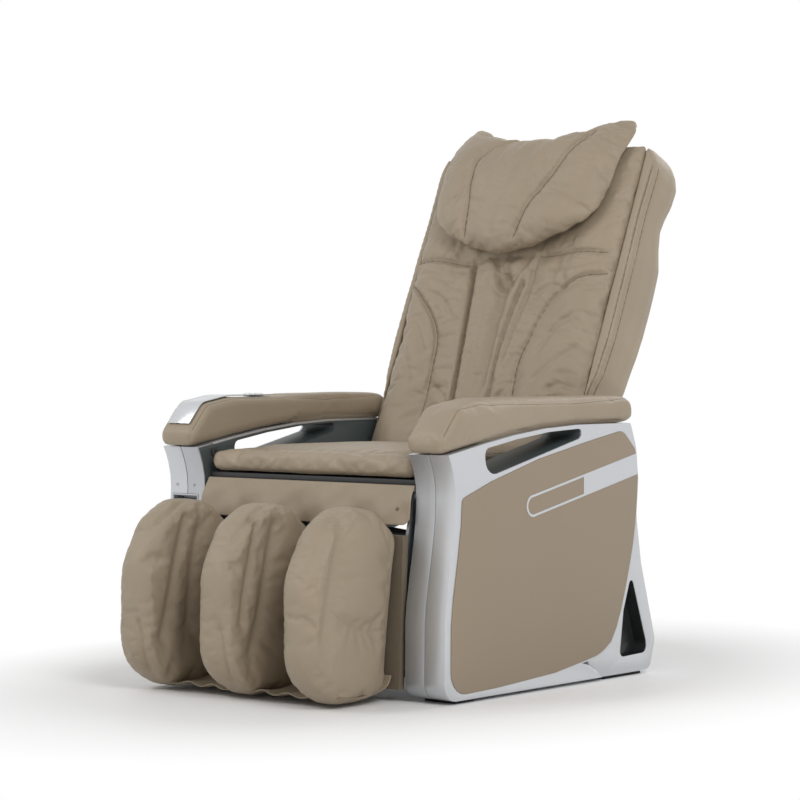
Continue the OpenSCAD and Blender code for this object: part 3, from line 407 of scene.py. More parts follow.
def show(name, mesh, material=None):
    """A new piece from a mesh, in the scene, with its faces smooth."""
    piece = added(name, mesh)
    if material:
        coat(mesh, material)
    smooth(mesh)
    return piece


def applied(piece):
    """Turns a piece's modifiers into its own mesh."""
    graph = bpy.context.evaluated_depsgraph_get()
    mesh = bpy.data.meshes.new_from_object(piece.evaluated_get(graph))
    worn_out = piece.data
    piece.modifiers.clear()
    piece.data = mesh
    bpy.data.meshes.remove(worn_out)
    return piece


def points(mesh, what="co"):
    flat = np.empty(len(mesh.vertices) * 3, dtype=np.float32)
    mesh.vertices.foreach_get(what, flat)
    return flat.reshape(-1, 3).astype(float)


def move(mesh, where):
    mesh.vertices.foreach_set("co", where.astype(np.float32).ravel())
    mesh.update()


def smooth_line(line, steps=6):
    """A smooth curve through given points."""
    line = [np.array(p, dtype=float) for p in line]
    made = []
    for i in range(len(line) - 1):
        p, q, r, s = line[max(i - 1, 0)], line[i], line[i + 1], line[min(i + 2, len(line) - 1)]
        for k in range(steps):
            t = k / steps
            made.append(0.5 * (2 * q + (r - p) * t + (2 * p - 5 * q + 4 * r - s) * t * t
                               + (3 * q - p - 3 * r + s) * t ** 3))
    return np.array(made + [line[-1]])


def along(line, flat):
    """Each flat point's distance from a line, and its nearest point's run along it."""
    best = np.full(len(flat), 1e9)
    where = np.zeros(len(flat))
    run = 0.0
    for p, q in zip(line[:-1], line[1:]):
        step = q - p
        length = float(np.hypot(*step)) or 1e-9
        t = np.clip(((flat - p) @ step) / length ** 2, 0, 1)
        gap = np.hypot(*(flat - p - t[:, None] * step).T)
        closer = gap < best
        best[closer] = gap[closer]
        where[closer] = run + t[closer] * length
        run += length
    return best, where, run


def soft_copy(node, name, voxel, rounds, shrink):
    """An even mesh over a cushion's solid, rounded off and drawn in to leave room to swell."""
    piece = show(name, NODES[node].data.copy())
    even = piece.modifiers.new("even", "REMESH")
    even.mode = "VOXEL"
    even.voxel_size = voxel
    soften = piece.modifiers.new("soften", "SMOOTH")
    soften.factor = 0.5
    soften.iterations = rounds
    applied(piece)
    mesh = piece.data
    move(mesh, points(mesh) - points(mesh, "normal") * shrink)
    return piece


def subdivided(piece, levels=1):
    finer = piece.modifiers.new("finer", "SUBSURF")
    finer.levels = levels
    finer.render_levels = levels
    return applied(piece)


def puff(piece, sewn, pressure=4.0, cap=0.012, slack=0.03, steps=20):
    """Blows the cover up between the places where it is sewn, and keeps how it settles.

    sewn holds 0 to 1 for each vertex; slack is how much the leather is cut larger than its foam."""
    scene = bpy.context.scene
    mesh = piece.data
    rest = points(mesh)
    group = piece.vertex_groups.new(name="sewn")
    for level in (0.25, 0.5, 0.75, 1.0):
        near = np.nonzero(np.abs(sewn - level) <= 0.125)[0]
        if len(near):
            group.add([int(i) for i in near], level, "REPLACE")
    cloth = piece.modifiers.new("cover", "CLOTH")
    cover = cloth.settings
    cover.quality = 4
    cover.mass = 0.35
    cover.tension_stiffness = 18
    cover.compression_stiffness = 12
    cover.shear_stiffness = 6
    cover.bending_stiffness = 0.8
    cover.use_pressure = True
    cover.uniform_pressure_force = pressure
    cover.shrink_min = -slack
    cover.shrink_max = -slack
    cover.vertex_group_mass = "sewn"
    cover.effector_weights.gravity = 0
    cloth.collision_settings.use_collision = False
    cloth.point_cache.frame_start = 1
    cloth.point_cache.frame_end = steps
    for step in range(1, steps + 1):
        scene.frame_set(step)
    graph = bpy.context.evaluated_depsgraph_get()
    settled = points(piece.evaluated_get(graph).data)
    piece.modifiers.clear()
    piece.vertex_groups.clear()
    scene.frame_set(1)
    moved = settled - rest
    length = np.maximum(np.linalg.norm(moved, axis=1), 1e-9)
    move(mesh, rest + moved * (cap * np.tanh(length / cap) / length)[:, None])


# In millimetres, how far from its end a seam reaches full depth, and how long a pucker is;
# then how many of a seam's half widths its puckers reach
SEAM_END = 18.0
PUCKER_PITCH = 17.0
PUCKER_REACH = 3.2


def sew(piece, flat, seams, facing=None):
    """Draws the cover in along its seams, with the puckers that gather beside them.

    flat holds each vertex's place on the seams' plane, in millimetres. A seam is its points,
    then its depth, its half width and its puckers' height, in millimetres."""
    mesh = piece.data
    inward = np.zeros(len(flat))
    for line, depth, width, pucker in seams:
        gap, run, total = along(smooth_line(line), flat)
        fade = np.clip(np.minimum(run, total - run) / SEAM_END + 0.25, 0, 1)
        inward += depth * np.exp(-(gap / width) ** 2) * fade
        wave = np.sin(run * math.tau / PUCKER_PITCH + 1.7 * np.sin(run * 0.043) + gap * 0.05)
        inward += pucker * np.exp(-(gap / (PUCKER_REACH * width)) ** 2) * wave * fade
    if facing is not None:
        inward *= facing
    move(mesh, points(mesh) - points(mesh, "normal") * inward[:, None] * MM)


def held(flat, seams, share=1.0, facing=1.0):
    """How firmly each point is held by the seams that pass it, from 0 to 1."""
    firm = np.zeros(len(flat))
    for line, _, width, *_ in seams:
        gap, _, _ = along(smooth_line(line), flat)
        firm = np.maximum(firm, np.exp(-(gap / (width * share)) ** 2) * facing)
    return firm


def crumple(piece, scale, height, seed, waves=7):
    """Shallow, soft dents all over a cover, from a few crossing waves."""
    random = np.random.default_rng(seed)
    mesh = piece.data
    at = points(mesh)
    total = np.zeros(len(at))
    for _ in range(waves):
        way = random.normal(size=3)
        way /= np.linalg.norm(way)
        bend = random.normal(size=3)
        size = scale * random.uniform(0.6, 1.8)
        wave = at @ way * math.tau / size + np.sin(at @ bend * math.tau / (2.3 * size)) * 1.4
        total += np.sin(wave + random.uniform(0, math.tau)) * size / scale
    move(mesh, at + points(mesh, "normal") * (total * height / waves)[:, None])


def surface_of(piece):
    mesh = piece.data
    faces = [tuple(p.vertices) for p in mesh.polygons]
    return BVHTree.FromPolygons([v.co for v in mesh.vertices], faces)


def laid_on(surface, rays, lift):
    """Where rays, each a start and a way, meet a surface, lifted off it a little."""
    found = []
    for start, way in rays:
        hit, normal, _, _ = surface.ray_cast(Vector(start), Vector(way))
        if hit is not None:
            found.append(hit + (normal if normal.dot(Vector(way)) < 0 else -normal) * lift)
    return found


def tube(name, path, radius, material):
    """A round cord of leather or thread along a path."""
    curve = bpy.data.curves.new(name, "CURVE")
    curve.dimensions = "3D"
    curve.bevel_depth = radius
    curve.bevel_resolution = 3
    curve.use_fill_caps = True
    spline = curve.splines.new("POLY")
    spline.points.add(len(path) - 1)
    for point, co in zip(spline.points, path):
        point.co = (*co, 1.0)
    curve.materials.append(material)
    return added(name, curve)


def welt_on(name, path, radius, body):
    """A seam's welt along a path, which moves with a body."""
    welt = tube(name, path, radius, made("leather_seam"))
    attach(welt, body)


def stitches(name, path, material, length=0.0042, pitch=0.0062, radius=0.00045):
    """A row of single stitches along a path, as one mesh."""
    made = bmesh.new()
    run = 0.0
    for start, end in zip(path[:-1], path[1:]):
        run += (end - start).length
        if run < pitch:
            continue
        run = 0.0
        way = (end - start).normalized()
        side = way.orthogonal().normalized()
        up = way.cross(side)
        rings = []
        for share, size in ((-0.5, 0.45), (-0.3, 1.0), (0.3, 1.0), (0.5, 0.45)):
            centre = end + way * length * share
            rings.append([
                made.verts.new(centre + (side * math.cos(a) + up * math.sin(a)) * radius * size)
                for a in (i * math.tau / 6 for i in range(6))])
        for ring, following in zip(rings[:-1], rings[1:]):
            for i in range(6):
                made.faces.new((ring[i], ring[(i + 1) % 6],
                                following[(i + 1) % 6], following[i]))
        made.faces.new(rings[0][::-1])
        made.faces.new(rings[-1])
    return show(name, mesh_from(name, made), material)


def even_path(path, step=0.0031):
    """The same path with its points at even steps."""
    made = [path[0]]
    left = step
    for start, end in zip(path[:-1], path[1:]):
        length = (end - start).length
        at = 0.0
        while length - at >= left:
            at += left
            made.append(start.lerp(end, at / length))
            left = step
        left -= length - at
    return made


def grid_sheet(name, rows, columns, place, thickness, material):
    """A sheet of leather from place(across, down), each from 0 to 1, with its own thickness."""
    made = bmesh.new()
    verts = [[made.verts.new(place(i / columns, j / rows)) for i in range(columns + 1)]
             for j in range(rows + 1)]
    for j in range(rows):
        for i in range(columns):
            made.faces.new((verts[j][i], verts[j][i + 1], verts[j + 1][i + 1], verts[j + 1][i]))
    piece = show(name, mesh_from(name, made), material)
    thick = piece.modifiers.new("thick", "SOLIDIFY")
    thick.thickness = thickness
    thick.offset = 0.0
    return subdivided(piece)


def dress(piece, material, body, node):
    """Gives a finished cushion its leather, its body and the solid that it stands for."""
    coat(piece.data, material)
    smooth(piece.data)
    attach(piece, body)
    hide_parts(node)


# ---------------------------------------------------------------- the back's own plane

def on_back(across, up, into=0.0):
    """The place at across, up the lean and into the back, in millimetres from its lower front."""
    return (Vector((across * MM, 0, 0)) + BACK_ORIGIN + BACK_UP * (up * MM) + BACK_IN * (into * MM))


def back_flat(mesh):
    """Each vertex's place across and up the back, in millimetres, and how it faces forward."""
    at = points(mesh) - np.array(BACK_ORIGIN)
    flat = np.stack([at[:, 0], at @ np.array(BACK_UP)], axis=1) / MM
    forward = -(points(mesh, "normal") @ np.array(BACK_IN))
    return flat, np.clip(forward * 2.2, 0, 1)


def back_seam(name, surface, line, radius):
    """A sewn seam on the front of the back: its welt, and a row of stitches beside it."""
    rays = [(on_back(x, u, -140), BACK_IN) for x, u in smooth_line(line, 10)]
    path = laid_on(surface, rays, -0.0002)
    welt_on(name, path, radius, "backrest")
    beside = [p + Vector((0.0045, 0, 0)) for p in path]
    rows = laid_on(surface, [(p - BACK_IN * 0.05, BACK_IN) for p in even_path(beside)], 0.0001)
    row = stitches(name + "_stitches", rows, made("leather_thread"))
    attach(row, "backrest")


# ---------------------------------------------------------------- sizes and colours

def color_choice(name, description, red, green, blue):
    return bpy.props.FloatVectorProperty(
        name=name, description=description, subtype="COLOR", size=4, min=0.0, max=1.0,
        default=srgb(red, green, blue))


class ChairFinish(bpy.types.PropertyGroup):
    """Colours of the chair's finishes."""

    leather: color_choice("Leather", "Upholstery leather", 155, 140, 119)
    film: color_choice("Inlay film", "Leather-look film on the side inlays", 148, 133, 114)
    silver: color_choice("Silver", "Metallic paint on the housings", 198, 200, 203)
    post: color_choice("Brushed silver", "Brushed film on the front posts", 182, 184, 187)
    liner: color_choice("Liner", "Dark liners and the slots' tunnels", 70, 78, 78)
    seam: color_choice("Seam", "Welts in the seams", 118, 104, 86)


def length_choice(name, description, default, low, high):
    return bpy.props.FloatProperty(
        name=name, description=description, unit="LENGTH", default=default, min=low, max=high)


class ChairUpholstery(bpy.types.PropertyGroup):
    """Sizes of the upholstery's mesh and of how it swells."""

    voxel: length_choice("Mesh step", "Even step of the cushions' mesh", 0.0055, 0.004, 0.008)
    pressure: bpy.props.FloatProperty(
        name="Pressure", description="How hard the foam pushes the leather out",
        default=4.0, min=0.0, max=8.0)
    slack: bpy.props.FloatProperty(
        name="Slack", description="Share by which the leather is cut larger than its foam",
        subtype="FACTOR", default=0.035, min=0.0, max=0.1)
    swell: length_choice(
        "Swell", "Furthest that the leather moves as it settles", 0.012, 0.004, 0.03)
    draw_in: length_choice(
        "Draw-in", "How much smaller a cushion starts, to leave room to swell", 0.003, 0.0, 0.008)
    welt: length_choice("Welt", "Radius of the welt in a seam", 0.0011, 0.0005, 0.003)


def chosen():
    return bpy.context.scene.chair_upholstery


def made(name):
    return bpy.data.materials[name]


def pairs(*stems):
    """The left and the right node of each stem."""
    return tuple(f"{stem}_{side}" for stem in stems for side in ("left", "right"))


class FitFinishes(bpy.types.Operator):
    """Makes every finish and gives the frame's own pieces theirs"""

    bl_idname = "chair.finishes"
    bl_label = "Finishes"

    # Just outside the rear feet's recesses, in y behind the posts and z, counterclockwise
    FOOT_WINDOW = ((570, 34), (682, 34), (682, 70), (627, 222), (609, 222), (583, 140))
    PIECES = {
        "silver_shell": pairs("side_shell", "inlay_trim"),
        "silver_foot": pairs("rear_foot"),
        "silver_post": (*pairs("post_cover"), "bill_acceptor"),
        "silver_plate": ("control_plate",),
        "inlay_film": pairs("inlay"),
        "back_vinyl": ("rear_cover", "footrest_board"),
        "liner_plastic": (*pairs("inner_liner"), "cash_box", "carriage"),
        "black_paint": (*pairs("side_frame"), "front_frame", "cross_tubes", "seat_pan",
                        "back_frame"),
        "hinge_steel": (*pairs("knead_arm"), "footrest_frame"),
        "turned_steel": ("wheel_axles", "footrest_shaft", "footrest_ram_rod",
                         "recline_ram_rod", "lead_screw"),
        "black_plastic": (*pairs("wheel"), "footrest_ram_body", "recline_ram_body",
                          "screw_motor", "control_box", "power_inlet", "lock_cylinder"),
        "foot_rubber": ("rubber_feet",),
        "display_glass": ("display_lens",),
        "key_plastic": ("button_start", "button_recline", "button_upright"),
        "roller_plastic": pairs("roller_upper", "roller_lower"),
    }

    def execute(self, context):
        colors = context.scene.chair_finish
        hide = tuple(colors.leather)
        leather("leather_soft", hide)
        leather("leather_tight", hide, grain=0.6, polish=0.42)
        leather("leather_seam", tuple(colors.seam), grain=0.5, polish=0.55)
        leather("back_vinyl", darker(hide, 0.5), grain=0.5, polish=0.5)
        thread("leather_thread", darker(hide, 0.9))
        board_skin("inlay_film", tuple(colors.film))
        silver_paint("silver_shell", tuple(colors.silver))
        # The rear feet's recesses are coloured dark grey inside: painted shade, not a real
        # unpainted surface.
        silver_paint("silver_foot", tuple(colors.silver), window=tuple(
            (POST_Y + y * MM, z * MM) for y, z in self.FOOT_WINDOW))
        silver_paint("silver_plate", tuple(colors.silver), gloss=0.22)
        brushed_silver("silver_post", tuple(colors.post))
        plastic("liner_plastic", tuple(colors.liner), rough=0.42)
        plastic("black_plastic", srgb(28, 28, 30), rough=0.38)
        plastic("foot_rubber", srgb(22, 22, 22), rough=0.75, texture=2.0)
        plastic("key_plastic", srgb(226, 228, 226), rough=0.3, texture=0.4)
        plastic("roller_plastic", srgb(196, 190, 174), rough=0.35, texture=0.6)
        frame_paint("black_paint", srgb(34, 34, 36))
        steel("hinge_steel", srgb(188, 190, 194), 0.32)
        steel("turned_steel", srgb(186, 188, 192), 0.22, (1.6, 0.1, 0.1))
        display_glass("display_glass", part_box("display_lens"))
        for name, nodes in self.PIECES.items():
            for node in nodes:
                coat(NODES[node].data, made(name))
        return {"FINISHED"}


# ---------------------------------------------------------------- upholstery

class FitSeat(bpy.types.Operator):
    """The seat cushion: a flat crowned top, a rolled front lip and its side seams"""

    bl_idname = "chair.seat"
    bl_label = "Seat cushion"

    # How far the lip's seam lies behind the front edge, and the sewn lower rim's height
    LIP = 0.062
    RIM = 0.012

    def execute(self, context):
        size = chosen()
        seat = soft_copy("seat_cushion", "seat_upholstery", size.voxel, 9, size.draw_in)
        mesh = seat.data
        at, facing = points(mesh), points(mesh, "normal")
        lip = SEAT_LOW.y + self.LIP
        half = (SEAT_HIGH.x - SEAT_LOW.x) / 2
        sewn = np.exp(-((at[:, 1] - lip) / 0.006) ** 2) * (facing[:, 2] > 0.3)
        sewn = np.maximum(sewn, (at[:, 2] < SEAT_LOW.z + self.RIM) * 1.0)
        sewn = np.maximum(sewn, np.exp(-((np.abs(at[:, 0]) - half + 0.012) / 0.005) ** 2))
        puff(seat, sewn, size.pressure, 0.007, size.slack * 0.6)
        subdivided(seat)
        at = points(seat.data) / MM
        up = np.clip(points(seat.data, "normal")[:, 2] * 2, 0, 1)
        width = half / MM
        rear = SEAT_HIGH.y / MM
        front = lip / MM
        seams = [([(-width + 4, front), (-90, front + 2), (70, front - 1), (width - 4, front)],
                  3.5, 7.0, 0.5)]

        def along_side(side, start, end):
            return [(side * (width - 17), start), (side * (width - 16), 0),
                    (side * (width - 18), end)]

        for side in (-1, 1):
            seams.append((along_side(side, front - 30, rear - 20), 2.2, 3.2, 0.5))
        for x, reach in ((-150, 60), (-35, 44), (62, 70), (171, 52)):
            seams.append(([(x, front - 26), (x + 9, front + reach * 0.4),
                           (x + 26, front + reach)], 1.6, 7.0, 0.0))
        sew(seat, at[:, :2], seams, up)
        crumple(seat, 0.11, 0.0011, 11)
        dress(seat, made("leather_tight"), "base", "seat_cushion")
        surface = surface_of(seat)
        for side, word in ((-1, "right"), (1, "left")):
            line = smooth_line(along_side(side, front - 20, rear - 25), 20)
            rays = [((x * MM, y * MM, SEAT_HIGH.z + 0.05), (0, 0, -1)) for x, y in line]
            welt_on("seat_welt_" + word, laid_on(surface, rays, 0.0), size.welt, "base")
        return {"FINISHED"}


class FitApron(bpy.types.Operator):
    """The leather apron that hangs from the seat's lip, with its folds and corner stud"""

    bl_idname = "chair.apron"
    bl_label = "Seat apron"

    # How far the sheet reaches past its solid at each side and below, how far under the
    # solid's top it starts, and the width and height of its turned-up lower corners
    WIDER = 0.016
    LONGER = 0.012
    TOP_GAP = 0.009
    CORNER = 0.012
    CORNER_RISE = 0.010
    # Each fold's place across, its width and how deep it is
    FOLDS = ((-0.20, 0.026, 0.009), (-0.13, 0.020, -0.005), (-0.05, 0.034, 0.008),
             (0.03, 0.022, -0.006), (0.10, 0.030, 0.009), (0.17, 0.018, -0.005),
             (0.23, 0.024, 0.007))
    STUD = (0.945, 0.6)

    def execute(self, context):
        low, high = APRON_LOW, APRON_HIGH
        half = (high.x - low.x) / 2 + self.WIDER

        def place(across, down):
            x = half * (2 * across - 1)
            reach = 1 - (1 - down) ** 1.7
            y = high.y - 0.004 + (low.y + 0.006 - high.y + 0.004) * reach
            z = high.z - self.TOP_GAP + (low.z + self.TOP_GAP - high.z) * down
            for middle, width, depth in self.FOLDS:
                y += depth * down * math.exp(-((x - middle - 0.05 * down) / width) ** 2)
            y += 0.0022 * math.sin(x * 61 + 5 * down) * math.sin(math.pi * down)
            z -= down * (self.LONGER + 0.002 * math.sin(x * 13 + 1.2))
            z += down * self.CORNER_RISE * max(
                0.0, (abs(x) - half + self.CORNER) / self.CORNER)
            return Vector((x, max(y, low.y - 0.004), z))

        apron = grid_sheet("apron_leather", 22, 96, place, 0.0022, made("leather_soft"))
        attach(apron, "base")
        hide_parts("seat_apron")
        stud = self.stud(place(*self.STUD))
        drop = sum((place(0.5, (i + 1) / 20) - place(0.5, i / 20)).length for i in range(20))
        return {"FINISHED"}

    def stud(self, at):
        """A small domed stud that holds the apron's corner."""
        made_up = bmesh.new()
        profile = ((0.0, 0.0032), (0.0022, 0.0028), (0.0038, 0.0014), (0.0042, 0.0), (0.0, -0.001))
        rings = []
        for radius, height in profile:
            rings.append([made_up.verts.new(at + Vector((
                radius * math.cos(a), -height, radius * math.sin(a))))
                for a in (i * math.tau / 20 for i in range(20))] if radius
                else [made_up.verts.new(at + Vector((0, -height, 0)))])
        for ring, following in zip(rings[:-1], rings[1:]):
            for i in range(20):
                after = (i + 1) % 20
                corners = [ring[i % len(ring)], ring[after % len(ring)],
                           following[after % len(following)], following[i % len(following)]]
                made_up.faces.new(list(dict.fromkeys(corners)))
        bmesh.ops.recalc_face_normals(made_up, faces=made_up.faces)
        piece = show("apron_stud", mesh_from("apron_stud", made_up), made("leather_seam"))
        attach(piece, "base")
        return piece


class FitCalfPads(bpy.types.Operator):
    """The three standing calf pads, their seams, tucks and long folds, and the skirt below"""

    bl_idname = "chair.calf_pads"
    bl_label = "Calf pads"

    # Folds across x in millimetres and round the pad in degrees, from -90 below to 90 on top,
    # then their depth and half width
    FOLDS = {
        "left": (([(16, 78), (26, 50), (22, 22)], 3.0, 11.0),),
        "middle": (([(20, 84), (30, 64), (24, 42)], 6.0, 8.0),
                   ([(16, -14), (26, -36), (18, -56)], 6.0, 9.0)),
        "right": (([(16, 84), (24, 68), (18, 52)], 8.0, 8.0),
                  ([(14, -14), (24, -34), (16, -54)], 6.0, 8.0)),
    }
    # Folds and seams on the pad's left flank, in y behind the posts and z in millimetres,
    # then their depth and half width
    FLANKS = {
        "left": (([(-160, 362), (-176, 318), (-190, 264), (-209, 188), (-226, 120)], 8.0, 15.0),
                 ([(-206, 196), (-180, 170), (-146, 153), (-92, 141), (-36, 140)], 1.6, 2.2)),
        "middle": (([(-164, 352), (-186, 271), (-203, 200), (-212, 140)], 10.0, 9.0),
                   ([(-118, 350), (-140, 269), (-166, 160), (-196, 80)], 6.0, 10.0)),
        "right": (([(-140, 356), (-168, 262), (-192, 168), (-214, 96)], 8.0, 11.0),
                  ([(-104, 330), (-128, 240), (-140, 120)], 5.0, 10.0)),
    }
    # The middle that the folds' angles are counted round, in y behind the posts and z
    ROUND_Y = -100
    ROUND_Z = 190
    # Within this of the middle the angles crowd together, so no fold reaches there
    CORE = 78
    PER_DEGREE = 3.0
    SKIRT_IN = 0.012

    def execute(self, context):
        for side in ("left", "middle", "right"):
            self.pad(side)
        self.skirt()
        return {"FINISHED"}

    def around(self, at, middle):
        """Each point across the pad, and round it in steps that are about a millimetre long."""
        y = at[:, 1] / MM - POST_Y / MM - self.ROUND_Y
        z = at[:, 2] / MM - self.ROUND_Z
        across = (at[:, 0] - middle) / MM
        across += np.sign(across) * 3 * np.clip(self.CORE - np.hypot(y, z), 0, None)
        return np.stack([across, np.degrees(np.arctan2(z, -y)) * self.PER_DEGREE], axis=1)

    def pad(self, side):
        size = chosen()
        node = "calf_pad_" + side
        low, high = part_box(node)
        middle, half = (low.x + high.x) / 2, (high.x - low.x) / 2
        edge = half / MM - 9
        pad = soft_copy(node, node + "_upholstery", size.voxel, 10, size.draw_in)
        seams = [(self.rim(edge, -86, 98), 2.4, 3.4, 0.1)]
        seams += [(line, depth, width, 0.1) for line, depth, width in self.FOLDS[side]]
        stretched = [([(x, a * self.PER_DEGREE) for x, a in line], d, w, p)
                     for line, d, w, p in seams]
        flat = self.around(points(pad.data), middle)
        flank, spots = self.beside(pad)
        sewn = np.maximum(held(flat, stretched),
                          held(spots, self.FLANKS[side], facing=flank))
        rear = points(pad.data)[:, 1] > high.y - 0.030
        sewn = np.maximum(sewn, rear * 1.0)
        sew(pad, flat, [(line, d * 0.5, w, 0.0) for line, d, w, _ in stretched])
        puff(pad, sewn, size.pressure, size.swell, size.slack)
        subdivided(pad)
        sew(pad, self.around(points(pad.data), middle),
            [(line, d * 0.6, w * 0.7, p) for line, d, w, p in stretched])
        flank, spots = self.beside(pad)
        sew(pad, spots, [(line, d, w, 0.15) for line, d, w in self.FLANKS[side]], flank)
        crumple(pad, 0.075, 0.0009, 20 + len(side))
        dress(pad, made("leather_soft"), "footrest", node)
        surface = surface_of(pad)
        rays = []
        for x, angle in smooth_line(self.rim(edge, -84, 96), 16):
            way = Vector((0, math.cos(math.radians(angle)), -math.sin(math.radians(angle))))
            centre = Vector((middle + x * MM, POST_Y + self.ROUND_Y * MM, self.ROUND_Z * MM))
            rays.append((centre - way * 0.30, way))
        welt_on(node + "_welt_front", laid_on(surface, rays, -0.0003), size.welt, "footrest")

    def rim(self, edge, bottom, top):
        """The seam down the pad's inner edge, between two angles."""
        return [(3 - edge, bottom), (-edge, -30), (-edge, 40), (2 - edge, top)]

    def beside(self, pad):
        """How far each point faces the sitter's left, and its place in y and z."""
        spots = points(pad.data)[:, 1:] / MM
        spots[:, 0] -= POST_Y / MM
        return np.clip(points(pad.data, "normal")[:, 0] * 2, 0, 1), spots

    def skirt(self):
        """The leather that joins the pads along the footrest's lower edge."""
        low, high = BOARD_LOW, BOARD_HIGH
        width = high.x - low.x - 2 * self.SKIRT_IN
        path = smooth_line([(-0.026, 0.052), (-0.040, 0.031), (-0.080, 0.021), (-0.130, 0.016),
                            (-0.178, 0.019)], 8)

        def place(across, down):
            x = low.x + self.SKIRT_IN + width * across
            spot = down * (len(path) - 1)
            i = min(int(spot), len(path) - 2)
            y, z = path[i] + (path[i + 1] - path[i]) * (spot - i)
            sag = 0.004 * math.sin(x * 95 + 2 * down) * down
            return Vector((x, y + POST_Y + 0.002 * math.sin(x * 40), max(z + sag, 0.010)))

        skirt = grid_sheet("footrest_skirt", 26, 90, place, 0.002, made("leather_soft"))
        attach(skirt, "footrest")


class FitArmPads(bpy.types.Operator):
    """The two tightly padded arms, each with a seam round its outer and inner panel"""

    bl_idname = "chair.arm_pads"
    bl_label = "Arm pads"

    SEAM_IN = 0.010

    def execute(self, context):
        size = chosen()
        for side, word in ((1, "left"), (-1, "right")):
            node = "arm_pad_" + word
            low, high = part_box(node)
            pad = soft_copy(node, node + "_upholstery", size.voxel, 8, 0.0016)
            at = points(pad.data)
            sewn = (at[:, 2] < low.z + 0.020) * 1.0
            near_plate = (at[:, 1] < low.y + 0.30) if side < 0 else (at[:, 1] < low.y)
            sewn = np.maximum(sewn, near_plate * 1.0)
            puff(pad, sewn, size.pressure, 0.005, 0.012)
            subdivided(pad)
            at = points(pad.data)
            inward = np.zeros(len(at))
            for plane in (low.x + self.SEAM_IN, high.x - self.SEAM_IN):
                inward += 1.5 * np.exp(-((at[:, 0] - plane) / 0.0030) ** 2)
            move(pad.data, at - points(pad.data, "normal") * (inward * MM)[:, None])
            crumple(pad, 0.16, 0.0006, 31 + side)
            dress(pad, made("leather_tight"), "base", node)
            self.welts(pad, low, high, word, size.welt)
        return {"FINISHED"}

    def welts(self, pad, low, high, word, radius):
        surface = surface_of(pad)
        middle = Vector((0, (low.y + high.y) / 2, low.z + 0.045))
        for plane, where in ((low.x + self.SEAM_IN, "a"), (high.x - self.SEAM_IN, "b")):
            rays = []
            for i in range(181):
                angle = math.radians(-8 + 196 * i / 180)
                out = Vector((0, -math.cos(angle) * 0.40, math.sin(angle) * 0.09))
                start = Vector((plane, middle.y, middle.z)) + out
                rays.append((start, (-out).normalized()))
            welt_on(f"arm_pad_{word}_welt_{where}", laid_on(surface, rays, -0.0004),
                    radius * 0.8, "base")


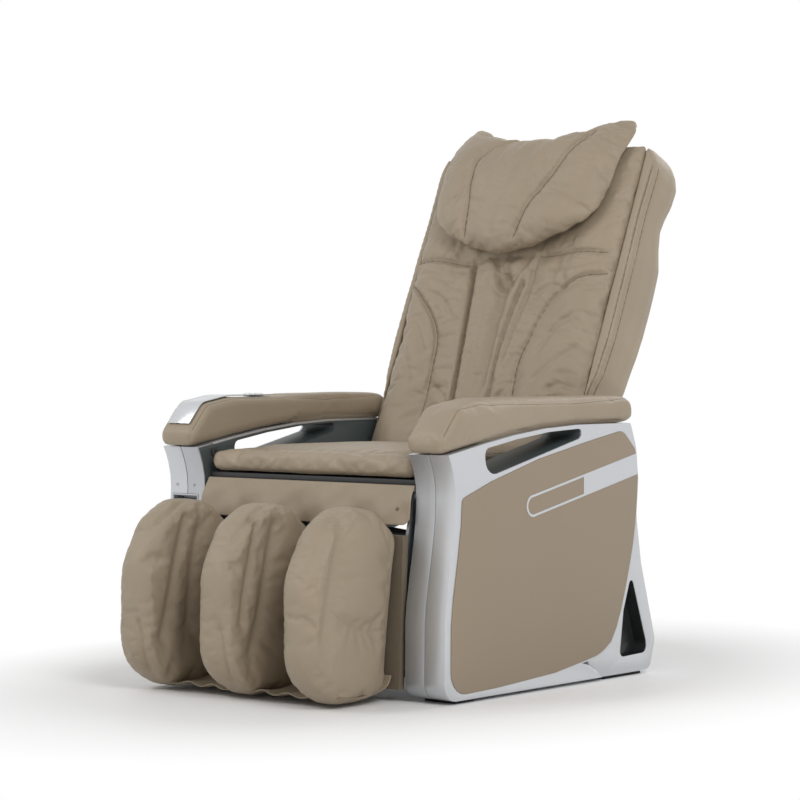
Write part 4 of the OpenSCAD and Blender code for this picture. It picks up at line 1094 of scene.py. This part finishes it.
class FitBackCushion(bpy.types.Operator):
    """The back's front cushion: lumbar arches, two long rolls and the gathers beside them"""

    bl_idname = "chair.back_cushion"
    bl_label = "Back cushion"

    # The part behind the pillow lies flat: above this height, and this far to each side
    PILLOW_FROM = 520
    PILLOW_HALF = 235
    # Each seam's points across and up the back, then its depth, half width and puckers
    SEAMS = (
        ([(-268, 475), (-193, 470), (-96, 458)], 5.5, 5.0, 0.5),
        ([(80, 476), (162, 482), (252, 485)], 5.5, 5.0, 0.5),
        ([(-266, 418), (-231, 395), (-181, 346), (-145, 288), (-134, 204), (-130, 96)],
         5.5, 5.0, 0.6),
        ([(262, 438), (198, 418), (139, 363), (112, 286), (96, 216), (110, 96)],
         5.5, 5.0, 0.6),
    )
    VALLEYS = (
        ([(-94, 466), (-81, 376), (-65, 256), (-47, 110)], 17.0, 6.5, 0.4),
        ([(4, 440), (11, 374), (11, 303), (18, 160)], 12.0, 11.0, 0.3),
        ([(58, 420), (44, 327), (38, 233), (47, 120)], 14.0, 6.5, 0.3),
        ([(76, 462), (77, 395), (62, 301), (54, 220)], 7.0, 6.0, 0.3),
        ([(-44, 440), (-34, 360), (-28, 270), (-16, 170)], 3.0, 9.0, 0.0),
    )
    WRINKLES = (
        ([(-30, 474), (-10, 440), (10, 396)], 13.0, 12.0, 0.0),
        ([(56, 474), (36, 440), (18, 396)], 13.0, 12.0, 0.0),
        ([(196, 150), (226, 176), (256, 170)], 6.0, 7.0, 0.3),
        ([(150, 128), (190, 136), (240, 140)], 5.0, 7.0, 0.3),
        ([(-225, 330), (-190, 292), (-160, 240)], 5.1, 8.0, 0.0),
        ([(-243, 270), (-206, 228), (-176, 170)], 4.4, 9.0, 0.0),
        ([(-196, 392), (-150, 372), (-112, 330)], 4.4, 7.0, 0.0),
        ([(-250, 440), (-190, 432), (-130, 408)], 4.1, 8.0, 0.0),
        ([(226, 340), (180, 300), (146, 240)], 4.8, 8.0, 0.0),
        ([(246, 270), (206, 226), (150, 178)], 4.4, 9.0, 0.0),
        ([(186, 392), (132, 402), (92, 372)], 4.1, 7.0, 0.0),
        ([(240, 462), (180, 446), (120, 446)], 3.7, 8.0, 0.0),
        ([(-120, 170), (-84, 150), (-60, 118)], 4.1, 7.0, 0.0),
        ([(92, 176), (70, 140), (56, 108)], 4.1, 7.0, 0.0),
    )

    def execute(self, context):
        size = chosen()
        back = soft_copy("back_cushion", "back_upholstery", size.voxel, 8, size.draw_in / 3)
        flat, facing = back_flat(back.data)
        drawn = self.SEAMS + self.VALLEYS
        sewn = held(flat, drawn, 0.8, facing)
        rearward = points(back.data, "normal") @ np.array(BACK_IN)
        sewn = np.maximum(sewn, (rearward > 0.3) * 1.0)
        behind_pillow = (flat[:, 1] > self.PILLOW_FROM) * (np.abs(flat[:, 0]) < self.PILLOW_HALF)
        sewn = np.maximum(sewn, behind_pillow * 1.0)
        sew(back, flat, [(line, d * 0.55, w * 1.3, 0.0) for line, d, w, _ in drawn], facing)
        puff(back, sewn, size.pressure, size.swell, size.slack)
        subdivided(back)
        flat, facing = back_flat(back.data)
        sew(back, flat, [(line, d * 0.55, w * 0.75, p) for line, d, w, p in drawn]
            + list(self.WRINKLES), facing)
        crumple(back, 0.085, 0.0015, 41)
        dress(back, made("leather_soft"), "backrest", "back_cushion")
        surface = surface_of(back)
        for i, (line, _, _, _) in enumerate(self.SEAMS):
            back_seam(f"back_seam_{i}", surface, line, size.welt)
        return {"FINISHED"}


class FitBackSides(bpy.types.Operator):
    """The back's two side wings with the twin seams along their front edges"""

    bl_idname = "chair.back_sides"
    bl_label = "Back sides"

    # The wings' front parts are drawn back behind the front cushion's edge
    FRONT_DEPTH = 0.050
    FRONT_SQUEEZE = 0.45

    def execute(self, context):
        size = chosen()
        for side, word in ((1, "left"), (-1, "right")):
            node = "back_side_" + word
            wing = soft_copy(node, node + "_upholstery", 0.0045, 5, 0.0006)
            at = points(wing.data)
            into = (at - np.array(BACK_ORIGIN)) @ np.array(BACK_IN)
            push = np.clip(self.FRONT_DEPTH - into, 0, 1) * self.FRONT_SQUEEZE
            move(wing.data, at + push[:, None] * np.array(BACK_IN))
            subdivided(wing)
            mesh = wing.data
            at = points(mesh) - np.array(BACK_ORIGIN)
            flat = np.stack([at @ np.array(BACK_IN), at @ np.array(BACK_UP)], axis=1) / MM
            outer = np.clip(points(mesh, "normal")[:, 0] * side * 2, 0, 1)
            sew(wing, flat, [([(34, 120), (34, 400), (35, 700)], 2.0, 3.0, 0.4),
                             ([(50, 120), (52, 400), (56, 690)], 1.6, 3.0, 0.3)], outer)
            crumple(wing, 0.09, 0.0008, 51 + side)
            dress(wing, made("leather_tight"), "backrest", node)
            surface = surface_of(wing)
            for name, into in (("front", 34), ("rear", 51)):
                line = smooth_line([(into, 130), (into + 1, 400), (into + 3, 700)], 16)
                rays = [(on_back(side * 360, u, v), (-side, 0, 0)) for v, u in line]
                welt_on(f"{node}_welt_{name}", laid_on(surface, rays, 0.0002),
                        size.welt * 0.8, "backrest")
        return {"FINISHED"}


class FitHeadPillow(bpy.types.Operator):
    """The head pillow: its three lobes, two bowed seams and the ridge down its middle"""

    bl_idname = "chair.head_pillow"
    bl_label = "Head pillow"

    SEAMS = (
        ([(-21, 753), (-67, 724), (-104, 681), (-107, 627), (-97, 578), (-92, 497)],
         7.0, 6.5, 0.5),
        ([(162, 765), (148, 731), (128, 672), (107, 625), (70, 566), (46, 492)],
         7.0, 6.5, 0.5),
    )
    VALLEYS = (
        ([(63, 726), (17, 653), (-9, 557), (-18, 490)], 3.5, 14.0, 0.4),
        ([(206, 790), (196, 720), (188, 640), (180, 570)], 2.6, 10.0, 0.4),
        ([(-196, 790), (-190, 700), (-176, 630)], 2.4, 12.0, 0.3),
        ([(-150, 560), (-128, 610), (-126, 660)], 3.7, 8.0, 0.0),
        ([(120, 560), (96, 590), (92, 620)], 2.0, 8.0, 0.0),
        ([(-60, 560), (-46, 620), (-52, 680)], 2.0, 9.0, 0.0),
        ([(40, 700), (66, 650), (60, 590)], 2.0, 9.0, 0.0),
    )

    def execute(self, context):
        size = chosen()
        pillow = soft_copy("head_pillow", "pillow_upholstery", size.voxel, 8, size.draw_in / 3)
        flat, facing = back_flat(pillow.data)
        sewn = held(flat, self.SEAMS, facing=facing)
        rearward = points(pillow.data, "normal") @ np.array(BACK_IN)
        sewn = np.maximum(sewn, (rearward > 0.5) * 1.0)
        sew(pillow, flat, [(line, d * 0.6, w * 1.5, 0.0) for line, d, w, _ in self.SEAMS],
            facing)
        puff(pillow, sewn, size.pressure * 1.2, size.swell * 1.3, size.slack)
        subdivided(pillow)
        flat, facing = back_flat(pillow.data)
        sew(pillow, flat, [(line, d * 0.5, w * 0.7, p) for line, d, w, p in self.SEAMS]
            + list(self.VALLEYS), facing)
        crumple(pillow, 0.09, 0.0014, 61)
        dress(pillow, made("leather_soft"), "backrest", "head_pillow")
        surface = surface_of(pillow)
        for i, (line, _, _, _) in enumerate(self.SEAMS):
            back_seam(f"pillow_seam_{i}", surface, line, size.welt)
        return {"FINISHED"}


# ---------------------------------------------------------------- small parts

class FitHousingDetail(bpy.types.Operator):
    """Edge rounding on the moulded and metal pieces, so that their edges catch the light"""

    bl_idname = "chair.housing_detail"
    bl_label = "Housing edges"

    # Each radius and the pieces whose edges have it
    EDGES = {
        0.0018: pairs("side_shell", "rear_foot", "inner_liner"),
        0.0012: (*pairs("post_cover", "inlay"), "cash_box", "control_box", "screw_motor"),
        0.0005: (*pairs("inlay_trim"), "bill_acceptor", "control_plate", "button_start",
                 "button_recline", "button_upright", "lock_cylinder", "power_inlet",
                 "display_lens"),
        0.0010: (*pairs("side_frame"), "front_frame", "cross_tubes", "footrest_frame",
                 "back_frame", "rubber_feet", "carriage", "seat_pan"),
    }
    WELD = 0.00001
    # Edges sharper than these, in degrees, are rounded, and split from smooth shading
    ROUNDED = 38
    CREASED = 33

    def execute(self, context):
        for node in NODES.values():
            smooth(node.data)
            node.modifiers.new("weld", "WELD").merge_threshold = self.WELD
        for radius, nodes in self.EDGES.items():
            for node in nodes:
                edge = NODES[node].modifiers.new("edge", "BEVEL")
                edge.width = radius
                edge.segments = 2
                edge.limit_method = "ANGLE"
                edge.angle_limit = math.radians(self.ROUNDED)
        for node in NODES.values():
            crease = node.modifiers.new("crease", "EDGE_SPLIT")
            crease.split_angle = math.radians(self.CREASED)
            crease.use_edge_sharp = False
        return {"FINISHED"}


# ---------------------------------------------------------------- stage and camera

class FitStage(bpy.types.Operator):
    """A pale floor that fades into a white surround, and soft plain light"""

    bl_idname = "chair.stage"
    bl_label = "Stage"

    LAMPS = (
        # name, place, what it aims at, size, power
        ("key_light", (3.7, -1.9, 3.0), (0.0, 0.0, 0.5), 2.2, 84.0),
        ("fill_light", (-2.3, -3.4, 3.3), (0.0, 0.0, 0.5), 2.4, 62.0),
        ("rear_light", (0.5, 3.4, 3.0), (0.0, 0.0, 0.6), 2.4, 34.0),
    )

    # How far out the floor starts to turn white, and how fast it does, per metre
    FADE_FROM = 0.95
    FADE_RATE = 1.6

    def execute(self, context):
        context.scene.view_settings.view_transform = "Standard"
        for name, place, aim, size, power in self.LAMPS:
            lamp = bpy.data.lights.new(name, "AREA")
            lamp.shape = "DISK"
            lamp.size = size
            lamp.energy = power
            holder = added(name, lamp)
            holder.location = place
            turn = (Vector(aim) - Vector(place)).to_track_quat("-Z", "Y")
            holder.rotation_euler = turn.to_euler()
        self.surround(context.scene)
        self.floor()
        return {"FINISHED"}

    def surround(self, scene):
        """White where it is seen, straight or in metal and glass, and dimmer as a lamp."""
        world = bpy.data.worlds.new("surround")
        graph = empty_graph(world)
        path = graph.node("ShaderNodeLightPath")
        outs = path.socket.node.outputs
        seen = (path + Wire(graph, outs["Is Glossy Ray"])
                + Wire(graph, outs["Is Transmission Ray"])).clamp()
        dim = graph.node("ShaderNodeBackground", {}, {"Strength": 0.45})
        white = graph.node("ShaderNodeBackground", {}, {"Strength": 1.0})
        for shade in (dim, white):
            shade.socket.node.inputs["Color"].default_value = (1.0, 1.0, 1.0, 1.0)
        both = graph.node("ShaderNodeMixShader", {}, {0: seen, 1: dim, 2: white})
        graph.node("ShaderNodeOutputWorld", {}, {"Surface": both})
        scene.world = world

    def floor(self):
        """A pale disc that takes the chair's shadow and fades out to white."""
        disc = bmesh.new()
        bmesh.ops.create_circle(disc, cap_ends=True, segments=96, radius=7.0)
        material = bpy.data.materials.new("floor_pale")
        graph = empty_graph(material)
        x, y, _ = graph.axes(graph.place())
        far = (((((x * 1.7) ** 2 + (y * 1.2) ** 2) ** 0.5) - self.FADE_FROM)
               * self.FADE_RATE).clamp()
        speck = graph.noise(graph.place(), 60.0, 3.0)
        matt = graph.node("ShaderNodeBsdfPrincipled", {}, {
            "Base Color": graph.blend(speck, (0.90, 0.90, 0.90, 1.0), (0.93, 0.93, 0.93, 1.0)),
            "Roughness": 0.6})
        white = graph.node("ShaderNodeEmission", {}, {"Strength": 1.0})
        both = graph.node("ShaderNodeMixShader", {}, {0: far, 1: matt, 2: white})
        graph.node("ShaderNodeOutputMaterial", {}, {"Surface": both})
        show("floor", mesh_from("floor", disc), material)


class FitCamera(bpy.types.Operator):
    """The camera, a little above the seat and off the chair's left front corner"""

    bl_idname = "chair.camera"
    bl_label = "Camera"

    PLACE = (3.4166, -3.762, 0.6715)
    AIM = (0.070, 0.226, 0.5715)
    LENS = 115.56

    def execute(self, context):
        camera = bpy.data.cameras.new("camera")
        camera.lens = self.LENS
        camera.sensor_width = 36.0
        holder = added("camera", camera)
        posts = Vector((0.0, POST_Y, 0.0))
        place, aim = posts + Vector(self.PLACE), posts + Vector(self.AIM)
        holder.location = place
        holder.rotation_euler = (aim - place).to_track_quat("-Z", "Y").to_euler()
        context.scene.camera = holder
        return {"FINISHED"}


# ---------------------------------------------------------------- panel and run

STEPS = (FitFinishes, FitSeat, FitApron, FitCalfPads, FitArmPads, FitBackCushion, FitBackSides,
         FitHeadPillow, FitHousingDetail, FitStage, FitCamera)


class ChairPanel(bpy.types.Panel):
    """Lists the chair's steps and its sizes"""

    bl_idname = "VIEW3D_PT_massage_chair"
    bl_label = "Massage Chair"
    bl_space_type = "VIEW_3D"
    bl_region_type = "UI"
    bl_category = "Chair"

    def draw(self, context):
        for settings in (context.scene.chair_finish, context.scene.chair_upholstery):
            box = self.layout.box()
            for name in settings.__annotations__:
                box.prop(settings, name)
        for step in STEPS:
            self.layout.operator(step.bl_idname)


CLASSES = (ChairFinish, ChairUpholstery, *STEPS, ChairPanel)


def register():
    for cls in CLASSES:
        bpy.utils.register_class(cls)
    bpy.types.Scene.chair_finish = bpy.props.PointerProperty(type=ChairFinish)
    bpy.types.Scene.chair_upholstery = bpy.props.PointerProperty(type=ChairUpholstery)


def unregister():
    del bpy.types.Scene.chair_upholstery
    del bpy.types.Scene.chair_finish
    for cls in reversed(CLASSES):
        bpy.utils.unregister_class(cls)


def main():
    register()
    for step in STEPS:
        group, name = step.bl_idname.split(".")
        getattr(getattr(bpy.ops, group), name)()


if __name__ == "__main__":
    main()
